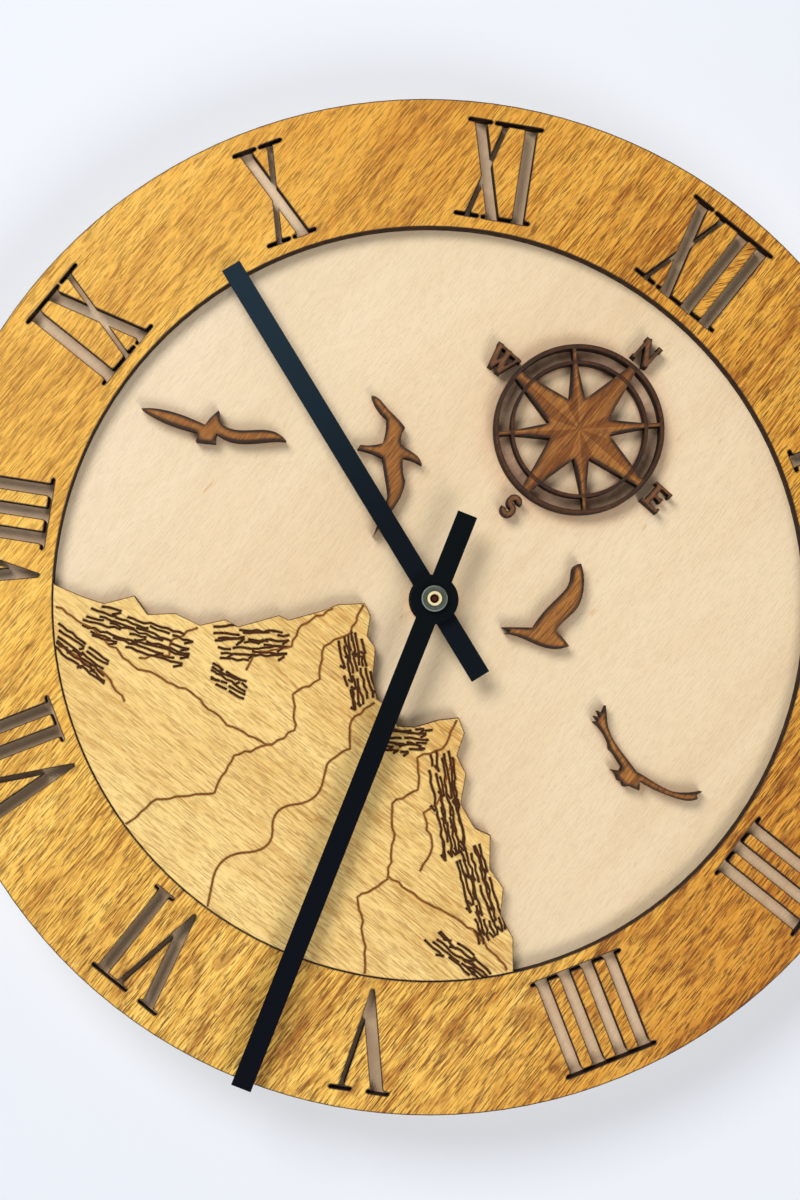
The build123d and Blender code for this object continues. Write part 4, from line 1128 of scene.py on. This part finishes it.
@dataclass
class Hands:
    """Flat satin hands with eased edges, and the brass minute tube with its open nut.

    The nut's slanted faces are polished: those whose normals have a share along the dial's axis between the
    two slants.
    """

    ease: float = 0.1 * MM
    steps: int = 96
    bore: float = 1.77 * MM
    groove_outer: float = 2.62 * MM
    groove_inner: float = 2.3 * MM
    groove_depth: float = 0.12 * MM
    chamfer: float = 0.3 * MM
    least_slant: float = 0.3
    most_slant: float = 0.95
    # Painted reflection: the bluish tones of both hands, strongest on the hour hand towards its tip
    minute_paint_and_reflection: HandPaint = HandPaint("satin_black_hand_painted_reflection", tone(2, 7, 11), tone(3, 6, 15))
    hour_paint_and_reflection: HandPaint = HandPaint("satin_hand_painted_blue_reflection", tone(8, 15, 22), tone(26, 42, 53))
    nickel: MetalFinish = MetalFinish("nickel_nut", tone(84, 88, 76), tone(64, 68, 58), 0.34)
    polish: MetalFinish = MetalFinish("polished_nut_rim", tone(160, 168, 160), tone(134, 142, 134), 0.2)
    brass: MetalFinish = MetalFinish("turned_brass", tone(252, 234, 188), tone(238, 212, 152), 0.22)

    def build(self) -> None:
        """Make the hands and the nut, and dress the tube."""
        for node, body, paint in (("hour_hand", "hour_hand_body", self.hour_paint_and_reflection),
                                  ("minute_hand", "minute_hand_body", self.minute_paint_and_reflection)):
            blade = add_piece(f"{node}_blade", eased_copy(node, self.ease), [paint.material()])
            stand_in(blade, node, body)
        nut = add_piece("open_hand_nut", self.nut(), [self.nickel.material(), self.polish.material()])
        for face in nut.data.polygons:
            slanted = self.least_slant < abs(face.normal.y) < self.most_slant
            face.material_index = 1 if slanted else 0
        stand_in(nut, "hand_nut", "minute_hand_body")
        dress("minute_arbor", TubeFinish(self.brass).material())

    def nut(self) -> bmesh.types.BMesh:
        """Nut turned from its half section, with a groove between its rim and its bore.

        Returns:
            The nut's mesh.
        """
        low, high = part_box("hand_nut")
        rim = (high.x - low.x) / 2
        front, back = low.y, high.y
        section = (
            (self.bore, back),
            (rim, back),
            (rim, front + self.chamfer),
            (rim - self.chamfer, front),
            (self.groove_outer, front),
            (self.groove_outer - self.groove_depth, front + self.groove_depth),
            (self.groove_inner + self.groove_depth, front + self.groove_depth),
            (self.groove_inner, front),
            (self.bore, front),
        )
        shape = bmesh.new()
        corners = [shape.verts.new((radius, y, 0.0)) for radius, y in section]
        ring = [shape.edges.new((a, b)) for a, b in zip(corners, corners[1:] + corners[:1])]
        bmesh.ops.spin(shape, geom=[*corners, *ring], cent=(0, 0, 0), axis=(0, 1, 0), angle=2 * math.pi,
                       steps=self.steps, use_merge=True)
        bmesh.ops.remove_doubles(shape, verts=shape.verts, dist=MERGE)
        bmesh.ops.recalc_face_normals(shape, faces=shape.faces)
        return shape


@dataclass
class Movement:
    """Quartz movement behind the dial: moulded case, fixings, train, motor, circuit and cell.

    The cell's film holds places along the cell, from 0 to 1, with their tones.
    """

    bare_negative: float = 0.5 * MM
    bare_positive: float = 1.5 * MM
    blur: float = 0.2 * MM
    film: tuple[tuple[float, Colour], ...] = (
        (0.0, tone(38, 40, 44)), (0.68, tone(44, 46, 50)), (0.7, tone(196, 122, 58)),
    )
    film_metal: float = 0.4
    bare_steel: Colour = tone(190, 190, 188)

    def dress(self) -> None:
        """Give each inner and rear node its own finish."""
        white = MouldedFinish("white_moulded_gear", tone(240, 238, 230), tone(230, 226, 214), 0.35)
        finishes = (
            (MouldedFinish("black_moulded_case", tone(38, 38, 40), tone(48, 48, 50)),
             ("front_case", "rear_cover")),
            (MouldedFinish("grey_moulded_knob", tone(84, 84, 87), tone(98, 98, 100)), ("setting_knob",)),
            (MouldedFinish("ivory_moulded_frame", tone(226, 222, 210), tone(216, 210, 196), 0.4),
             ("train_bridge", "coil_bobbin")),
            (white, ("rotor_pinion", "fifth_wheel", "third_wheel", "centre_wheel", "motion_wheel",
                     "hour_wheel")),
            (MetalFinish("brass_fixing", tone(222, 188, 112), tone(198, 160, 86), 0.3),
             ("threaded_bush", "bush_washer", "bush_nut")),
            (MetalFinish("bright_plating", tone(196, 198, 196), tone(170, 172, 170), 0.28),
             ("crystal_can", "positive_contact", "negative_contact")),
            (MetalFinish("soft_iron", tone(150, 150, 152), tone(124, 124, 128), 0.42),
             ("stator_plate", "coil_core")),
            (MetalFinish("enamelled_copper", tone(206, 116, 62), tone(176, 88, 44), 0.34,
                         marks=(5200.0, 200.0, 200.0)), ("coil_winding",)),
            (MetalFinish("sintered_magnet", tone(86, 86, 90), tone(64, 64, 68), 0.55), ("rotor_magnet",)),
            (MouldedFinish("rubber_gasket", tone(32, 31, 30), tone(40, 39, 37), 0.8), ("gasket",)),
            (MouldedFinish("phenolic_board", tone(150, 104, 58), tone(132, 88, 46), 0.5), ("circuit_board",)),
            (MouldedFinish("potting_resin", tone(18, 18, 19), tone(26, 26, 27), 0.2), ("timing_chip",)),
        )
        for finish, nodes in finishes:
            material = finish.material()
            for node in nodes:
                dress(node, material)
        dress("second_wheel", PinnedWheelFinish(white).material())
        dress("battery_cell", self.jacket())

    def jacket(self) -> bpy.types.Material:
        """Plain two-tone jacket of the cell with steel ends.

        Returns:
            The material.
        """
        low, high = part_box("battery_cell")
        graph = Graph("cell_jacket")
        place = graph.place()
        along = graph.parts(place)["X"]
        film = graph.ramp(graph.span(along, low.x, high.x), self.film)
        left = low.x + self.bare_negative
        right = high.x - self.bare_positive
        ends = graph.sum("ADD", graph.span(along, left, left + self.blur, 1.0, 0.0),
                         graph.span(along, right - self.blur, right))
        wear = graph.noise(graph.stretched(place, (300.0,) * 3), 3.0)
        colour = graph.mixed(ends, film, self.bare_steel)
        return graph.finish(colour, graph.spread(wear, 0.22, 0.36), self.film_metal)


@dataclass(frozen=True)
class Softbox:
    """Large soft lamp, placed by what the camera calls right, up and near. Lengths in metres."""

    name: str
    right: float
    up: float
    near: float
    width: float
    power: float
    colour: Colour
    mirrored: bool = True


@dataclass
class Studio:
    """Pale wall, soft lamps and the camera at the photograph's view. Lengths in metres."""

    eye: tuple[float, float, float] = (-0.00633, -0.49069, -0.03586)
    aim: tuple[float, float, float] = (-0.00629, -0.0253, -0.00502)
    roll: float = 38.85
    lens: float = 57.0
    sensor: float = 36.0
    clip: tuple[float, float] = (0.01, 50.0)
    wall: float = 3.0
    wall_gap: float = 0.0006
    wall_tone: Colour = tone(240, 243, 250)
    wall_second: Colour = tone(233, 238, 247)
    wall_glow: float = 0.36
    ambient: float = 0.22
    ground: Colour = (0.94, 0.97, 1.0)
    ground_glow: float = 0.9
    lamps: tuple[Softbox, ...] = (
        Softbox("upper_left_softbox", -0.42, 0.645, 0.985, 0.6, 10.2, (1.0, 0.99, 0.97)),
        Softbox("lower_right_softbox", 0.42, -0.645, 0.985, 0.6, 6.3, (1.0, 0.985, 0.96)),
        Softbox("front_softbox", 0.0, 0.0, 1.3, 0.5, 1.0, (0.97, 0.985, 1.0), False),
        Softbox("rear_left_softbox", -0.75, 0.40, -0.85, 0.7, 6.6, (1.0, 0.99, 0.97)),
        Softbox("rear_right_softbox", 0.80, 0.30, -0.85, 0.7, 5.6, (0.98, 0.99, 1.0)),
    )

    def build(self) -> None:
        """Set the camera, the lamps, the world and the wall."""
        axes = self.camera()
        for lamp in self.lamps:
            self.light(lamp, axes)
        self.world()
        self.backdrop()

    def camera(self) -> Matrix:
        """Make the camera.

        Returns:
            Its axes as columns: right, up and back.
        """
        data = bpy.data.cameras.new("photo_camera")
        data.lens = self.lens
        data.sensor_width = self.sensor
        data.clip_start, data.clip_end = self.clip
        made = linked("photo_camera", data)
        looking = Vector(self.aim) - Vector(self.eye)
        turn = looking.to_track_quat("-Z", "Y").to_matrix() @ Matrix.Rotation(math.radians(self.roll), 3, "Z")
        made.matrix_world = Matrix.Translation(self.eye) @ turn.to_4x4()
        bpy.context.scene.camera = made
        return turn

    def light(self, lamp: Softbox, axes: Matrix) -> None:
        """Place one lamp and aim it at the dial.

        Args:
            lamp: Lamp to place.
            axes: The camera's axes as columns.
        """
        data = bpy.data.lights.new(lamp.name, "AREA")
        data.shape = "DISK"
        data.size = lamp.width
        data.energy = lamp.power
        data.color = lamp.colour
        made = linked(lamp.name, data)
        place = Vector(self.aim) + axes @ Vector((lamp.right, lamp.up, lamp.near))
        turn = (Vector(self.aim) - place).to_track_quat("-Z", "Y").to_matrix()
        made.matrix_world = Matrix.Translation(place) @ turn.to_4x4()
        made.visible_camera = False
        made.visible_glossy = lamp.mirrored

    def world(self) -> None:
        """Even light from all round, and a pale ground where it is seen directly or mirrored."""
        world = bpy.data.worlds.new("studio")
        world.use_nodes = True
        bpy.context.scene.world = world
        tree = world.node_tree
        tree.nodes.clear()
        path = tree.nodes.new("ShaderNodeLightPath")
        seen = tree.nodes.new("ShaderNodeMath")
        seen.operation = "MAXIMUM"
        tree.links.new(path.outputs["Is Camera Ray"], seen.inputs[0])
        mirrored = tree.nodes.new("ShaderNodeMath")
        mirrored.operation = "MAXIMUM"
        tree.links.new(path.outputs["Is Glossy Ray"], mirrored.inputs[0])
        tree.links.new(path.outputs["Is Transmission Ray"], mirrored.inputs[1])
        tree.links.new(mirrored.outputs["Value"], seen.inputs[1])
        strength = tree.nodes.new("ShaderNodeMapRange")
        strength.inputs["To Min"].default_value = self.ambient
        strength.inputs["To Max"].default_value = self.ground_glow
        tree.links.new(seen.outputs["Value"], strength.inputs["Value"])
        ground = tree.nodes.new("ShaderNodeBackground")
        ground.inputs["Color"].default_value = (*self.ground, 1.0)
        tree.links.new(strength.outputs["Result"], ground.inputs["Strength"])
        output = tree.nodes.new("ShaderNodeOutputWorld")
        tree.links.new(ground.outputs["Background"], output.inputs["Surface"])

    def backdrop(self) -> None:
        """Pale wall that shows from the front only, so that the back of the clock stays in view."""
        shape = bmesh.new()
        bmesh.ops.create_grid(shape, x_segments=1, y_segments=1, size=self.wall / 2)
        upright = Matrix.Rotation(math.pi / 2, 3, "X")
        bmesh.ops.rotate(shape, verts=shape.verts, cent=(0, 0, 0), matrix=upright)
        bmesh.ops.translate(shape, verts=shape.verts, vec=(0, self.wall_gap, 0))
        graph = Graph("pale_wall")
        haze = graph.noise(graph.stretched(graph.place(), (2.0,) * 3), 1.0)
        paint = graph.node("ShaderNodeBsdfDiffuse")
        colour = graph.mixed(haze, self.wall_tone, self.wall_second)
        graph.feed(paint.inputs["Color"], colour)
        path = graph.node("ShaderNodeLightPath").outputs
        seen = graph.sum("MAXIMUM", path["Is Camera Ray"],
                         graph.sum("MAXIMUM", path["Is Glossy Ray"], path["Is Transmission Ray"]))
        glow = graph.node("ShaderNodeEmission")
        graph.feed(glow.inputs["Color"], colour)
        plain = graph.node("ShaderNodeMixShader")
        graph.feed(plain.inputs["Fac"], graph.sum("MULTIPLY", seen, self.wall_glow))
        graph.feed(plain.inputs[1], paint.outputs["BSDF"])
        graph.feed(plain.inputs[2], glow.outputs["Emission"])
        clear = graph.node("ShaderNodeBsdfTransparent")
        side = graph.node("ShaderNodeMixShader")
        graph.feed(side.inputs["Fac"], graph.node("ShaderNodeNewGeometry").outputs["Backfacing"])
        graph.feed(side.inputs[1], plain.outputs["Shader"])
        graph.feed(side.inputs[2], clear.outputs["BSDF"])
        output = graph.node("ShaderNodeOutputMaterial")
        graph.feed(output.inputs["Surface"], side.outputs["Shader"])
        wall = add_piece("wall_backdrop", shape, [graph.material])
        wall.visible_shadow = False
        wall.visible_diffuse = False


def main() -> None:
    """Load the frame, dress every piece and set the studio."""
    logging.basicConfig(level=logging.INFO, format="%(name)s: %(message)s")
    for made in list(bpy.data.objects):
        bpy.data.objects.remove(made)
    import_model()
    DialBoards().dress()
    Overlays().dress()
    LandscapePanel().build()
    Hands().build()
    Movement().dress()
    Studio().build()
    bpy.context.scene.view_settings.view_transform = "Standard"


if __name__ == "__main__":
    main()
